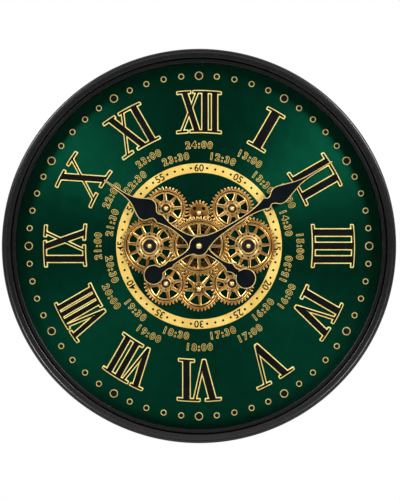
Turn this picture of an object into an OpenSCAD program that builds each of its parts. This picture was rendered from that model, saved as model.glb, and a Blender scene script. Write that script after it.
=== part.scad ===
// A large round wall clock with ten moving gears in the middle of its dial.
// Everything is drawn facing up, with x to the right of the dial, y to its top and z off the wall.
// It is then stood upright, so the dial faces -Y and the wall is the plane Y = 0.

/* [Clock] */
// Outer diameter of the frame
clock_d = 600; // [580:5:680]
// Depth from the wall to the front of the bead
clock_depth = 62; // [61:0.5:70]
// Depth from the front of the bead down to the dial's face
dial_setback = 32; // [31.5:0.5:36]
// Hour that the hands show
shown_hour = 10; // [0:1:11]
// Minute that the hands show
shown_minute = 9.6; // [0:0.1:59.9]

/* [Frame] */
// Width of the rolled bead round the outside
bead_w = 7.2; // [6:0.2:9]
// Height that the bead stands above the flat band
bead_rise = 1.4; // [0.8:0.1:2.4]
// Width of the flat band inside the bead
band_w = 6; // [4:0.5:10]
// Width of the dark groove inside the band
groove_w = 2.4; // [1.5:0.1:4]
// Width of the inner band beside the dial
lip_w = 5.4; // [4:0.2:8]
// Depth of the groove between the two bands
groove_depth = 9; // [5:0.5:14]
// Depth that the inner band lies below the flat band
lip_drop = 1.2; // [0.4:0.1:3]
// Thickness of the frame's sheet steel
sheet_t = 1.5; // [1:0.1:2]
// Width of the flange that stands on the wall
flange_w = 14; // [10:1:20]

/* [Dial] */
// Thickness of the dial board
dial_t = 5; // [3:0.5:6]
// Gap between the dial board's edge and the frame
dial_gap = 0.4; // [0.2:0.1:1]
// Distance from the inner band to the circle of minute eyelets
eyelet_margin = 17; // [14:0.5:24]
// Outer diameter of the eyelet at each hour
hour_eyelet_d = 13; // [9:0.5:16]
// Outer diameter of the eyelet at each minute
minute_eyelet_d = 9.5; // [7:0.5:12]
// Width of an eyelet's metal
eyelet_w = 2; // [1.2:0.1:2.6]
// Height of an eyelet
eyelet_t = 1.6; // [0.8:0.1:3]
// Height of the black stud in an eyelet
stud_t = 0.9; // [0.4:0.1:2]
// Outer diameter of the gold minute ring
minute_ring_d = 255; // [246:1:290]
// Width of the gold minute ring
minute_ring_w = 14.7; // [10:0.1:17]
// Thickness of the gold minute ring
minute_ring_t = 1.1; // [0.6:0.1:2]

/* [Numerals] */
// Height of a numeral as a share of the clock's diameter
numeral_size_share = 0.1108; // [0.09:0.0005:0.12]
// Distance from the eyelet circle to the top of the numerals
numeral_margin = 22; // [14:1:30]
// Thickness of a numeral
numeral_t = 3; // [2:0.1:5]
// Width of the gold rim on a numeral
numeral_rim = 2.1; // [1.4:0.1:2.6]
// Thickness of a serif, with its rims
serif_t = 6.2; // [5.4:0.1:9]
// Depth of the painted face below the rim
face_depth = 1; // [0.4:0.1:1.6]

/* [Gears] */
// Module of the ten gears
gear_module = 1.78; // [1.7:0.01:1.82]
// Thickness of a gear
gear_t = 3.5; // [2.5:0.1:4]
// Play at the pitch line of two meshed gears
backlash = 0.4; // [0.3:0.05:0.8]
// Teeth of the front gear in the centre
center_front_teeth = 50; // [48:2:52]
// Teeth of the rear gear in the centre
center_rear_teeth = 37; // [35:1:39]
// Teeth of the left and right gears
side_teeth = 48; // [46:1:50]
// Teeth of the four corner gears
corner_teeth = 36; // [34:1:38]
// Teeth of the bottom gear
bottom_teeth = 37; // [35:1:39]
// Teeth of the top gear
top_teeth = 20; // [18:1:22]
// Angle of the corner gears from the vertical
corner_angle = 41.5; // [38:0.5:46]
// Height of the rear gears above the dial
rear_lift = 3; // [2.5:0.1:4]
// Gap between the rear gears and the front gears
layer_gap = 1.5; // [1:0.1:2.5]
// Width of the rim on the large gears
large_rim_w = 8; // [6:0.5:10]
// Width of the rim on the other gears
small_rim_w = 6.2; // [4.5:0.1:7]
// Width of a spoke at the rim of the large gears
large_spoke_w = 3.6; // [2.5:0.1:4.6]
// Width of a spoke at the rim of the corner gears
corner_spoke_w = 3.8; // [3:0.1:5]
// Width of a spoke at the rim of the bottom gear
bottom_spoke_w = 3.4; // [2:0.1:4]
// Width of the groove turned in each rim
rim_groove_w = 1.6; // [0.8:0.1:2.2]
// Depth of the groove turned in each rim
rim_groove_depth = 0.8; // [0.3:0.1:1.2]

/* [Hubs and posts] */
// Radius of the flange on the side gears
side_flange_r = 21; // [18:0.5:24]
// Radius of the flange on the corner gears
corner_flange_r = 13; // [11:0.5:15]
// Radius of the flange on the bottom gear
bottom_flange_r = 11; // [10:0.5:13]
// Radius of the flange on the centre gears
center_flange_r = 19; // [16:0.5:22]
// Thickness of a hub's flange
flange_t = 1.5; // [1:0.1:2]
// Height of a hub's boss above its flange on the front gears
boss_h = 0.9; // [0.5:0.1:2]
// Outer radius of a hub's boss
boss_r = 5.4; // [4.6:0.1:7]
// Radius of the post that a gear turns on
post_r = 3; // [2.4:0.1:3.6]
// Radius of the collar at the foot of a post
collar_r = 5; // [4.5:0.1:7]
// Radius of the threaded tip of a post
tip_r = 2; // [1.5:0.1:2.2]
// Thickness of the black washer on a post
washer_t = 0.8; // [0.5:0.1:1.2]
// Radius of the washer on the side gears
side_washer_r = 8.7; // [7:0.1:10]
// Radius of the washer on the other gears
corner_washer_r = 6.5; // [5.6:0.1:8]
// Radius of a ball nut
nut_r = 4.6; // [4:0.1:5.2]
// Height of a ball nut
nut_h = 4.3; // [4:0.1:4.6]
// End play of a gear on its post
end_play = 0.3; // [0.2:0.05:0.5]
// Radial running clearance of a shaft in its bore
run_fit = 0.05; // [0.02:0.01:0.08]
// Radial clearance of a pin or screw that stands still in its hole
seat_fit = 0.03; // [0.01:0.01:0.05]

/* [Hands] */
// Length of the minute hand from its axis
minute_hand_l = 240; // [225:1:250]
// Length of the hour hand from its axis
hour_hand_l = 176; // [160:1:190]
// Thickness of a hand
hand_t = 1.2; // [0.8:0.1:1.6]
// Height of the hour hand above the dial
hour_hand_lift = 21; // [20.5:0.5:22]
// Height of the minute hand above the dial
minute_hand_lift = 24.5; // [24:0.5:25.5]
// Radius of the hand nut
hand_nut_r = 5.6; // [4.5:0.1:7]
// Height of the hand nut
hand_nut_h = 4.6; // [4:0.1:5]
// Radius of the minute arbor
minute_arbor_r = 1.95; // [1.6:0.05:2]
// Wall of the hour pipe
hour_pipe_t = 0.95; // [0.8:0.05:1.1]
// Wall of the threaded bush round the hour pipe
bush_t = 0.95; // [0.8:0.05:1.2]
// Wall of the sleeve that the centre gears turn on
sleeve_t = 2.95; // [2:0.05:3.2]

/* [Movement and drive] */
// Side of the square quartz movement
movement_w = 56; // [54:1:62]
// Thickness of the movement and of the gear drive
case_t = 16; // [15.5:0.5:17]
// Wall of a plastic case
case_wall = 1.5; // [1.2:0.1:1.8]
// Width of a battery bay for one AA cell
bay_w = 15.2; // [14.8:0.1:15.6]
// Module of the small wheels inside the cases
fine_module = 0.5; // [0.48:0.01:0.52]
// Radius of the time setting knob
knob_r = 6; // [5:0.5:9]
// Height of the time setting knob
knob_h = 3.6; // [2:0.1:4]
// Radius of the gear drive's arbor
drive_arbor_r = 2; // [1.8:0.1:2.4]
// Radius of the drive motor's can
motor_r = 6; // [5:0.1:6.4]
// Travel of the drive's switch each way
switch_travel = 1.5; // [1:0.1:2]

/* [Hanger] */
// Width of the hanger plate
hanger_w = 60; // [50:1:80]
// Height of the hanger plate
hanger_h = 46; // [42:1:56]
// Radius of the keyhole's round entry
key_entry_r = 4.5; // [4:0.1:5.5]
// Width of the keyhole's slot
key_slot_w = 4.5; // [3.5:0.1:5]
// Length of the keyhole's slot above its entry
key_slot_l = 10; // [8:0.5:14]

/* [Hidden] */
$fn = 96;

// Overrun of every cut past the face that it leaves
cut = 1;

// The frame's radii, from the outside in
clock_r = clock_d / 2;
bead_r = bead_w / 2;
bead_center_r = clock_r - bead_r;
skirt_in_r = bead_center_r - sheet_t / 2;
band_in_r = clock_r - bead_w - band_w;
lip_out_r = band_in_r - groove_w;
lip_in_r = lip_out_r - lip_w;

// The heights off the wall
dial_front = clock_depth - dial_setback;
dial_back = dial_front - dial_t;
band_front = clock_depth - bead_rise;
lip_front = band_front - lip_drop;
groove_floor = band_front - groove_depth;
rear_z = dial_front + rear_lift;
front_z = rear_z + gear_t + layer_gap;
boss_top = front_z + gear_t + flange_t + boss_h;
washer_z = boss_top + end_play;
nut_z = washer_z + washer_t;
hour_hand_z = dial_front + hour_hand_lift;
minute_hand_z = dial_front + minute_hand_lift;

// The dial's radii
dial_r = skirt_in_r - dial_gap;
eyelet_circle_r = lip_in_r - eyelet_margin;
numeral_h = clock_d * numeral_size_share;
numeral_out_r = eyelet_circle_r - numeral_margin;
numeral_in_r = numeral_out_r - numeral_h;
minutes = 60;
hours = 12;
minutes_per_hour = minutes / hours;

// The radii round the clock's axis, each from the one inside it
hour_pipe_in_r = minute_arbor_r + run_fit;
hour_pipe_r = hour_pipe_in_r + hour_pipe_t;
bush_in_r = hour_pipe_r + run_fit;
bush_r = bush_in_r + bush_t;
sleeve_in_r = bush_r + seat_fit;
sleeve_r = sleeve_in_r + sleeve_t;
center_bore_r = sleeve_r + run_fit;
center_tube_t = 3;
center_tube_r = center_bore_r + center_tube_t;
sleeve_step = 1;
sleeve_foot_r = sleeve_r + 5 * sleeve_step;
center_washer_r = sleeve_r + 2 * sleeve_step;

// Teeth are involutes, with these shares of the module above and below the pitch line
pressure_angle = 20;
addendum_share = 1;
dedendum_share = 1.5;
fine_addendum_share = 0.8;
fine_dedendum_share = 1.1;
fine_backlash = backlash / 2;
// Corners along each flank of a tooth
flank_steps = 3;

// Where each gear stands, as an angle from the right and a distance from the clock's axis
right_theta = 0;
top_theta = 90;
left_theta = 180;
bottom_theta = 270;
upper_left_theta = top_theta + corner_angle;
upper_right_theta = top_theta - corner_angle;
lower_left_theta = bottom_theta - corner_angle;
lower_right_theta = bottom_theta + corner_angle;
corner_l = gear_module * (center_front_teeth + corner_teeth) / 2;
side_l = gear_module * (center_rear_teeth + side_teeth) / 2;
bottom_l = gear_module * (center_rear_teeth + bottom_teeth) / 2;
top_l = gear_module * (center_rear_teeth + top_teeth) / 2;
large_spokes = 12;
small_spokes = 8;
// Width of a spoke inside the hub, as a share of its width at the rim
spoke_flare_share = 1.9;

// Sizes of the hub flanges' trim
dot_r = 1.5;
small_dot_r = 1.1;
dot_inset = 3;
ring_w = 1.2;
ring_rise = 0.9;
// Turned rings on a flange: radius as a share of the flange's, height as a share of the rise
large_trim_shares = [
    [[0.785, 0], [0.73, 1], [0.69, 1], [0.635, 0]],
    [[0.6, 0], [0.57, 0.8], [0.48, 1], [0.45, 0]]
];
small_trim_shares = [[[0.63, 0], [0.59, 1], [0.545, 1], [0.51, 0]]];
hub_tube_t = 1.6;
rivet_r = 4.4;
rivet_t = 1.2;
tip_l = 2.4;
web_hole_r = 2.9;
web_holes = 4;
web_hole_turn = 180 / web_holes;
web_drop = 1.2;
// The top gear's boss passes the teeth of the front gear in the centre
top_boss_r = top_l - gear_module * (center_front_teeth / 2 + addendum_share) - end_play;

// Hands: widths as shares of the length, from the tail to the tip
minute_boss_r = 15;
minute_tail_r = 15;
minute_tail_l = 82;
hour_boss_r = 15.5;
hour_tail_r = 15.5;
hour_tail_l = 87;
curve_steps = 4;
minute_runs_shares = [
    [[-0.292, 0.025], [-0.25, 0.0192], [-0.2375, 0.0204], [-0.2167, 0.0263]],
    [[-0.2167, 0.0263], [-0.196, 0.0175], [-0.158, 0.0142], [-0.104, 0.015], [-0.067, 0.023], [-0.042, 0.0375]],
    [[0, 0.055], [0.033, 0.052], [0.058, 0.042], [0.092, 0.03], [0.146, 0.02], [0.229, 0.0133],
        [0.325, 0.0104], [0.396, 0.0133], [0.467, 0.0258], [0.508, 0.0404]],
    [[0.508, 0.0404], [0.525, 0.0292], [0.5375, 0.025], [0.554, 0.0317], [0.567, 0.0437]],
    [[0.567, 0.0437], [0.583, 0.0542], [0.604, 0.0579], [0.633, 0.0542], [0.6875, 0.0358],
        [0.75, 0.0175], [0.8125, 0.0096], [0.896, 0.0062], [1, 0.0037]]
];
hour_runs_shares = [
    [[-0.409, 0.034], [-0.375, 0.0295], [-0.352, 0.034], [-0.324, 0.047]],
    [[-0.324, 0.047], [-0.295, 0.0295], [-0.239, 0.0182], [-0.159, 0.017], [-0.102, 0.026], [-0.0625, 0.048]],
    [[0, 0.075], [0.051, 0.071], [0.08, 0.054], [0.125, 0.034], [0.1875, 0.0227], [0.256, 0.0182],
        [0.3125, 0.0205], [0.375, 0.033], [0.415, 0.0455]],
    [[0.415, 0.0455], [0.4375, 0.034], [0.4545, 0.032], [0.472, 0.0386], [0.489, 0.0597]],
    [[0.489, 0.0597], [0.511, 0.0864], [0.545, 0.0994], [0.585, 0.0943], [0.642, 0.0625],
        [0.699, 0.033], [0.767, 0.0182], [0.852, 0.0119], [1, 0.0062]]
];

// Numerals: strokes and serifs as shares of the numeral's height, from its middle line.
// A stroke is [kind, middle at the foot, middle at the top], a serif is [left end, right end, level].
// The first value is the width of the thick strokes. Level 0 is the foot and level 1 is the top.
THICK = 0;
THIN = 1;
thin_share = 0.098;
vee_foot_share = 0.1;
stroke_gap = 0.3;
numeral_run = 8;
numeral_bend_r = dial_r;
numeral_shares = [
    [0.176, [[THICK, -0.03, -0.35], [THIN, -0.42, -0.02], [THICK, 0.139, 0.139], [THICK, 0.36, 0.36]],
        [[-0.53, -0.175, 1], [-0.16, 0.53, 1], [-0.53, -0.24, 0], [-0.225, 0.53, 0]]],
    [0.258, [[THICK, 0, 0]], [[-0.245, 0.245, 1], [-0.245, 0.245, 0]]],
    [0.21, [[THICK, -0.21, -0.21], [THICK, 0.21, 0.21]], [[-0.445, 0.445, 1], [-0.445, 0.445, 0]]],
    [0.2, [[THICK, -0.311, -0.311], [THICK, 0, 0], [THICK, 0.311, 0.311]],
        [[-0.51, 0.51, 1], [-0.51, 0.51, 0]]],
    [0.2, [[THICK, -0.3, -0.3]],
        [[-0.52, 0.02, 1], [0.11, 0.5, 1], [-0.49, -0.11, 0]], [0.095, 0.3, -0.13]],
    [0.21, [], [[-0.5, -0.075, 1], [0.115, 0.5, 1]], [0, -0.27, 0.29]],
    [0.2, [[THICK, 0.29, 0.29]],
        [[-0.53, -0.13, 1], [-0.04, 0.52, 1], [0.09, 0.49, 0]], [-0.115, -0.33, 0.11]],
    [0.178, [[THICK, 0.12, 0.12], [THICK, 0.36, 0.36]],
        [[-0.54, -0.2, 1], [-0.17, 0.54, 1], [-0.06, 0.53, 0]], [-0.175, -0.36, -0.02]],
    [0.154, [[THICK, 0.04, 0.04], [THICK, 0.21, 0.21], [THICK, 0.38, 0.38]],
        [[-0.54, -0.2, 1], [-0.175, 0.53, 1], [-0.1, 0.53, 0]], [-0.2, -0.365, -0.065]],
    [0.19, [[THICK, -0.3, -0.3], [THICK, 0.33, -0.03], [THIN, -0.12, 0.34]],
        [[-0.5, 0.14, 1], [0.2, 0.5, 1], [-0.48, 0.04, 0], [0.12, 0.52, 0]]],
    [0.2, [[THICK, 0.27, -0.22], [THIN, -0.32, 0.31]],
        [[-0.48, -0.02, 1], [0.08, 0.48, 1], [-0.5, -0.11, 0], [0.02, 0.5, 0]]],
    [0.19, [[THICK, 0.07, -0.33], [THIN, -0.4, 0.03], [THICK, 0.29, 0.29]],
        [[-0.53, -0.17, 1], [-0.11, 0.49, 1], [-0.53, -0.21, 0], [-0.13, 0.49, 0]]]
];

// The quartz movement: its wheels turn on the clock's axis and on the set wheel's shaft above it
minute_pinion_teeth = 10;
set_wheel_teeth = 30;
set_pinion_teeth = 8;
hour_wheel_teeth = 32;
set_l = fine_module * (minute_pinion_teeth + set_wheel_teeth) / 2;
set_shaft_r = 1.1;
pivot_r = 0.8;
wheel_t = 1.6;
fine_gap = 0.6;
case_front = dial_back;
case_back = case_front - case_t;
case_floor = case_front - case_wall;
cover_front = case_back + case_wall;
hour_wheel_z = case_floor - fine_gap - wheel_t;
set_pinion_t = wheel_t + 2 * fine_gap;
set_wheel_z = hour_wheel_z - 2 * fine_gap - 2 * wheel_t;
pinion_t = wheel_t + 2 * fine_gap;
movement_r = movement_w / 2;
bay_low = -movement_r + case_wall;
bay_high = bay_low + bay_w;
knob_gap = 0.5;
bush_top = boss_top + washer_t + end_play;

// The gear drive: its wheel turns the bottom gear's arbor
drive_wheel_teeth = 50;
motor_pinion_teeth = 10;
motor_l = fine_module * (drive_wheel_teeth + motor_pinion_teeth) / 2;
drive_wheel_r = fine_module * (drive_wheel_teeth / 2 + fine_addendum_share);
drive_wheel_gap = 1;
drive_up = drive_wheel_r + drive_wheel_gap + case_wall;
drive_bay_high = -drive_wheel_r - drive_wheel_gap - case_wall;
drive_bay_low = drive_bay_high - bay_w;
drive_down = -drive_bay_low + case_wall;
drive_bush_t = 1.4;
drive_bush_r = drive_arbor_r + run_fit + drive_bush_t;
motor_shaft_r = 1;
motor_h = case_floor - 2 * wheel_t - 3 * fine_gap - cover_front;
ear_w = 10;
ear_l = 8;
ear_t = 2;

// The drive's switch
switch_x = -movement_r / 2 - 3 * case_wall;
switch_w = 5;
switch_l = 7;
switch_h = 2.4;
switch_neck_w = 2.4;
switch_neck_l = 4;
switch_foot_t = 1.2;

// Screws, contacts, coil and board
screw_r = 1.2;
screw_head_r = 2.4;
screw_head_t = 1.4;
screw_l = 5;
screw_gap = 0.2;
boss_wall = 1.6;
screw_inset = case_wall + screw_r + boss_wall / 2;
contact_w = 10;
contact_t = 0.5;
contact_nub_r = 2;
contact_nub_h = 1;
coil_r = 3.4;
coil_l = 18;
coil_flange_t = 1;
coil_flange_r = 4.2;
board_t = 1;
board_l = 22;
board_w = 12;
chip_w = 5;

// Clips that hold the dial to the frame
clips = 8;
clip_w = 14;
clip_l = 16;
clip_t = 1.5;
clip_fit = 0.05;
// The clips' legs end well clear of the frame's flange
clip_clear = 8.5;
clip_h = dial_back - sheet_t - clip_clear;
// The clips stand halfway between two of their steps, clear of the hanger
clip_turn = 180 / clips;

// The hanger stands on the frame's rear flange at the top
hanger_top_gap = 2;
hanger_top = skirt_in_r - hanger_top_gap;
hanger_low = sqrt(pow(hanger_top, 2) - pow(hanger_w / 2, 2)) - hanger_h;
hanger_screw_inset = 8;
hanger_screw_r = sqrt(pow(skirt_in_r - flange_w / 2, 2) - pow(hanger_w / 2 - hanger_screw_inset, 2));
key_entry_inset = 14;
key_entry_y = hanger_low + key_entry_inset;
key_slot_y = key_entry_y + key_slot_l;

minute_angle = 6 * shown_minute;
hour_angle = 30 * shown_hour + shown_minute / 2;

// The finish of each kind of piece
black_metal = [0.09, 0.09, 0.1];
dial_green = [0.03, 0.25, 0.17];
gold = [0.87, 0.72, 0.38];
old_brass = [0.72, 0.52, 0.3];
bright_brass = [0.86, 0.68, 0.4];
black_paint = [0.05, 0.06, 0.07];
steel = [0.6, 0.6, 0.62];
black_plastic = [0.12, 0.12, 0.13];
copper = [0.72, 0.42, 0.25];
board_green = [0.1, 0.35, 0.2];

// Stands the clock upright against the wall
module upright() {
    rotate([90, 0, 0]) children();
}

// Moves a gear to its place without turning it
module at_gear(theta, distance) {
    translate([distance * cos(theta), distance * sin(theta), 0]) children();
}

// A tube that stands on z
module tube(outer_r, inner_r, h) {
    difference() {
        cylinder(r = outer_r, h = h);
        translate([0, 0, -cut]) cylinder(r = inner_r, h = h + 2 * cut);
    }
}

// A rectangle of a turned profile, between two radii and two heights
module profile_bar(r1, r2, z1, z2) {
    translate([r1, z1]) square([r2 - r1, z2 - z1]);
}

// Angle in degrees between a flank's start and the point where it crosses radius r
function involute_turn(r, base_r) =
    let (a = acos(min(1, base_r / r))) tan(a) * 180 / PI - a;

// Half the angle that a tooth fills at radius r
function tooth_half_angle(r, teeth, mod, play) =
    let (pitch_r = mod * teeth / 2, base_r = pitch_r * cos(pressure_angle))
    90 / teeth - play / 4 / pitch_r * 180 / PI
        + involute_turn(pitch_r, base_r) - involute_turn(max(r, base_r), base_r);

// Outline of a gear, one tooth after the other, with the first tooth's middle on x
function gear_outline(teeth, mod, play, top_share, foot_share) =
    let (
        pitch_r = mod * teeth / 2,
        base_r = pitch_r * cos(pressure_angle),
        root_r = pitch_r - foot_share * mod,
        tip_r = pitch_r + top_share * mod,
        start_r = max(base_r, root_r),
        radii = concat([root_r], [for (i = [0:flank_steps - 1])
            start_r + (tip_r - start_r) * i / (flank_steps - 1)]),
        last = len(radii) - 1
    )
    [for (k = [0:teeth - 1], i = [0:2 * last + 1])
        let (
            rising = i <= last,
            r = radii[rising ? i : 2 * last + 1 - i],
            a = 360 * k / teeth + (rising ? -1 : 1) * tooth_half_angle(r, teeth, mod, play)
        )
        [r * cos(a), r * sin(a)]];

function big_outline(teeth) =
    gear_outline(teeth, gear_module, backlash, addendum_share, dedendum_share);
function fine_outline(teeth) =
    gear_outline(teeth, fine_module, fine_backlash, fine_addendum_share, fine_dedendum_share);
function root_radius(teeth) = gear_module * (teeth / 2 - dedendum_share);

// Turn that puts a gear in mesh with the centre gear from the direction theta
function mesh_turn(theta, center_teeth, teeth) =
    theta + 180 + theta * center_teeth / teeth + 180 / teeth;

// A spoked gear plate
module spoked_gear(teeth, rim_w, hub_r, bore_r, spokes, spoke_w, turn) {
    rim_in_r = root_radius(teeth) - rim_w;
    groove_r = root_radius(teeth) - rim_w / 2;
    root_w = spoke_w * spoke_flare_share;
    difference() {
        linear_extrude(gear_t) difference() {
            union() {
                difference() {
                    rotate(turn) polygon(big_outline(teeth));
                    circle(r = rim_in_r);
                }
                circle(r = hub_r);
                for (i = [0:spokes - 1]) {
                    rotate(turn + 360 * i / spokes) polygon([
                        [hub_r / 2, -root_w / 2], [rim_in_r + rim_w / 4, -spoke_w / 2],
                        [rim_in_r + rim_w / 4, spoke_w / 2], [hub_r / 2, root_w / 2]
                    ]);
                }
            }
            circle(r = bore_r);
        }
        translate([0, 0, gear_t - rim_groove_depth])
            tube(groove_r + rim_groove_w / 2, groove_r - rim_groove_w / 2, rim_groove_depth + cut);
    }
}

// A ring turned on a flange, with sloped sides
module trim_ring(flange_r, shares) {
    sink = flange_t / 2;
    rotate_extrude() polygon(concat(
        [[flange_r * shares[0][0], -sink]],
        [for (s = shares) [flange_r * s[0], ring_rise * s[1]]],
        [[flange_r * shares[len(shares) - 1][0], -sink]]
    ));
}

// A hub: a tube through the gear, a flange on its face and a boss up to the washer
module hub(gear_z, flange_r, bore_r, dots, hole_r, rings) {
    face_z = gear_z + gear_t;
    difference() {
        union() {
            translate([0, 0, gear_z]) cylinder(r = bore_r + hub_tube_t, h = gear_t + flange_t);
            translate([0, 0, face_z]) cylinder(r = flange_r, h = flange_t);
            for (shares = rings) {
                translate([0, 0, face_z + flange_t]) trim_ring(flange_r, shares);
            }
            translate([0, 0, face_z]) cylinder(r = boss_r, h = boss_top - face_z);
        }
        translate([0, 0, gear_z - cut]) cylinder(r = bore_r, h = boss_top - gear_z + 2 * cut);
        for (i = [0:dots - 1]) {
            rotate(360 * i / dots) translate([flange_r - dot_inset, 0, face_z + flange_t / 2])
                cylinder(r = hole_r, h = flange_t);
        }
    }
}

// Radius of the hole in a gear plate that a hub's tube passes through
function plate_bore(bore_r) = bore_r + hub_tube_t + seat_fit;
gear_bore_r = post_r + run_fit;
drive_bore_r = drive_arbor_r + seat_fit;

// A fixed post: a rivet head behind the dial, a collar, the journal and the threaded tip
module post(gear_z, nut_level) {
    translate([0, 0, dial_back - rivet_t]) cylinder(r = rivet_r, h = rivet_t);
    translate([0, 0, dial_back - rivet_t]) cylinder(r = post_r, h = washer_z - dial_back + rivet_t);
    translate([0, 0, dial_front]) cylinder(r = collar_r, h = gear_z - end_play - dial_front);
    translate([0, 0, dial_front]) cylinder(r = tip_r, h = nut_level + tip_l - dial_front);
}

// A solid ball top, as on a round nut
module ball_top(r, h) {
    ball_r = (pow(r, 2) + pow(h, 2)) / (2 * h);
    rotate_extrude() intersection() {
        translate([0, h - ball_r]) circle(r = ball_r);
        square([r, h]);
    }
}

// A round nut with a ball top and a blind hole from below
module ball_nut(r, h, hole_r, hole_l) {
    difference() {
        ball_top(r, h);
        translate([0, 0, -cut]) cylinder(r = hole_r, h = hole_l + cut);
    }
}

// The places of the seven gears that turn on posts: angle, distance, height and washer radius.
// The small top gear has no washer, and its nut stands on the post's shoulder.
post_places = [
    [left_theta, side_l, rear_z, side_washer_r], [right_theta, side_l, rear_z, side_washer_r],
    [upper_left_theta, corner_l, front_z, corner_washer_r],
    [upper_right_theta, corner_l, front_z, corner_washer_r],
    [lower_left_theta, corner_l, front_z, corner_washer_r],
    [lower_right_theta, corner_l, front_z, corner_washer_r],
    [top_theta, top_l, rear_z, 0]
];
function nut_level(place) = place[3] > 0 ? nut_z : washer_z;

// A smooth curve through the points of one run
function run_point(run, i, t) =
    let (
        n = len(run) - 1,
        a = run[max(0, i - 1)], b = run[i], c = run[i + 1], d = run[min(n, i + 2)]
    )
    (2 * b + (c - a) * t + (2 * a - 5 * b + 4 * c - d) * pow(t, 2)
        + (3 * b - a - 3 * c + d) * pow(t, 3)) / 2;
function run_curve(run) =
    [for (i = [0:len(run) - 2], k = [0:curve_steps - 1]) run_point(run, i, k / curve_steps)];
// The front runs and the tail runs each make one outline, mirrored about the hand's middle line
function side_points(runs, first, last) =
    concat([for (i = [first:last], p = run_curve(runs[i])) p], [runs[last][len(runs[last]) - 1]]);
function both_sides(points) =
    concat([for (p = points) [p[1], p[0]]],
        [for (i = [len(points) - 1:-1:0]) [-points[i][1], points[i][0]]]);

// A hand that points up, with its boss, its tail disc and a hole for its shaft
module hand(runs, length, boss, tail, tail_l, hole_r) {
    linear_extrude(hand_t) difference() {
        union() {
            polygon(length * both_sides(side_points(runs, 0, 1)));
            polygon(length * both_sides(side_points(runs, 2, 4)));
            circle(r = boss);
            translate([0, -tail_l]) circle(r = tail);
        }
        circle(r = hole_r);
    }
}

// The line that edge i of an outline lies on, moved in by d, as a point and a direction
function edge_dir(p, i) = let (e = p[(i + 1) % len(p)] - p[i]) e / norm(e);
function edge_start(p, i, d) = let (u = edge_dir(p, i)) p[i] + d * [-u[1], u[0]];
// Where the moved edges i - 1 and i meet
function inset_corner(p, i, d) =
    let (
        j = (i + len(p) - 1) % len(p),
        a = edge_start(p, j, d), u = edge_dir(p, j),
        b = edge_start(p, i, d), v = edge_dir(p, i),
        t = ((b[0] - a[0]) * v[1] - (b[1] - a[1]) * v[0]) / (u[0] * v[1] - u[1] * v[0])
    )
    a + t * u;
// The outline moved in by d on every side, for outlines that run anticlockwise
function inset(p, d) = [for (i = [0:len(p) - 1]) inset_corner(p, i, d)];

// Level edges are cut into short runs, and the whole outline bends with the dial
function level_runs(p) = [for (i = [0:len(p) - 1])
    let (
        a = p[i], b = p[(i + 1) % len(p)],
        n = a[1] == b[1] ? ceil(abs(b[0] - a[0]) / numeral_run) : 1
    )
    for (k = [0:n - 1]) a + (b - a) * k / n];
function bent(p) = [for (q = level_runs(p)) [q[0], q[1] - pow(q[0], 2) / (2 * numeral_bend_r)]];

// One stroke of a numeral, which ends just inside the serifs at its foot and its top
function stroke_outline(foot, top, width) =
    let (
        gap = stroke_gap / numeral_h,
        low = foot + (top - foot) * gap,
        high = top - (top - foot) * gap
    )
    numeral_h * [
        [low - width / 2, gap], [low + width / 2, gap],
        [high + width / 2, 1 - gap], [high - width / 2, 1 - gap]
    ];
// The two joined strokes of a V, with the thick one on side -1 or 1
function vee_outline(vee, width) =
    let (
        thick_left = vee[1] < vee[2],
        left_w = thick_left ? width : thin_share,
        right_w = thick_left ? thin_share : width,
        left_top = min(vee[1], vee[2]),
        right_top = max(vee[1], vee[2]),
        left_run = vee[0] - vee_foot_share / 2 - (left_top - left_w / 2),
        right_run = vee[0] + vee_foot_share / 2 - (right_top + right_w / 2),
        opening = (right_top - right_w / 2) - (left_top + left_w / 2),
        drop = opening / (left_run - right_run),
        gap = stroke_gap / numeral_h
    )
    numeral_h * [
        [vee[0] - vee_foot_share / 2, 0], [vee[0] + vee_foot_share / 2, 0],
        [right_top + right_w / 2 + right_run * gap, 1 - gap],
        [right_top - right_w / 2 + right_run * gap, 1 - gap],
        [left_top + left_w / 2 + left_run * drop, 1 - drop],
        [left_top + left_w / 2 + left_run * gap, 1 - gap],
        [left_top - left_w / 2 + left_run * gap, 1 - gap]
    ];
function serif_outline(serif) =
    let (low = serif[2] == 1 ? numeral_h - serif_t : 0)
    [
        [numeral_h * serif[0], low], [numeral_h * serif[1], low],
        [numeral_h * serif[1], low + serif_t], [numeral_h * serif[0], low + serif_t]
    ];

// Every outline of one numeral
function numeral_outlines(shape) = concat(
    [for (s = shape[1]) bent(stroke_outline(s[1], s[2], s[0] == THIN ? thin_share : shape[0]))],
    [for (s = shape[2]) bent(serif_outline(s))],
    len(shape) > 3 ? [bent(vee_outline(shape[3], shape[0]))] : []
);

// One numeral: a gold body whose face is sunk inside its rim
module numeral(hour) {
    outlines = numeral_outlines(numeral_shares[hour]);
    color(gold) upright() rotate(-360 * hour / hours) translate([0, numeral_in_r, dial_front])
        difference() {
            linear_extrude(numeral_t) union() {
                for (p = outlines) {
                    polygon(p);
                }
            }
            translate([0, 0, numeral_t - face_depth]) linear_extrude(face_depth + cut) union() {
                for (p = outlines) {
                    polygon(inset(p, numeral_rim));
                }
            }
        }
}

// A ring of eyelets, which leaves out the hours or keeps only them
module eyelet_places(at_hours) {
    for (i = [0:minutes - 1]) {
        if ((i % minutes_per_hour == 0) == at_hours) {
            rotate(-360 * i / minutes) translate([0, eyelet_circle_r, dial_front]) children();
        }
    }
}

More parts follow.
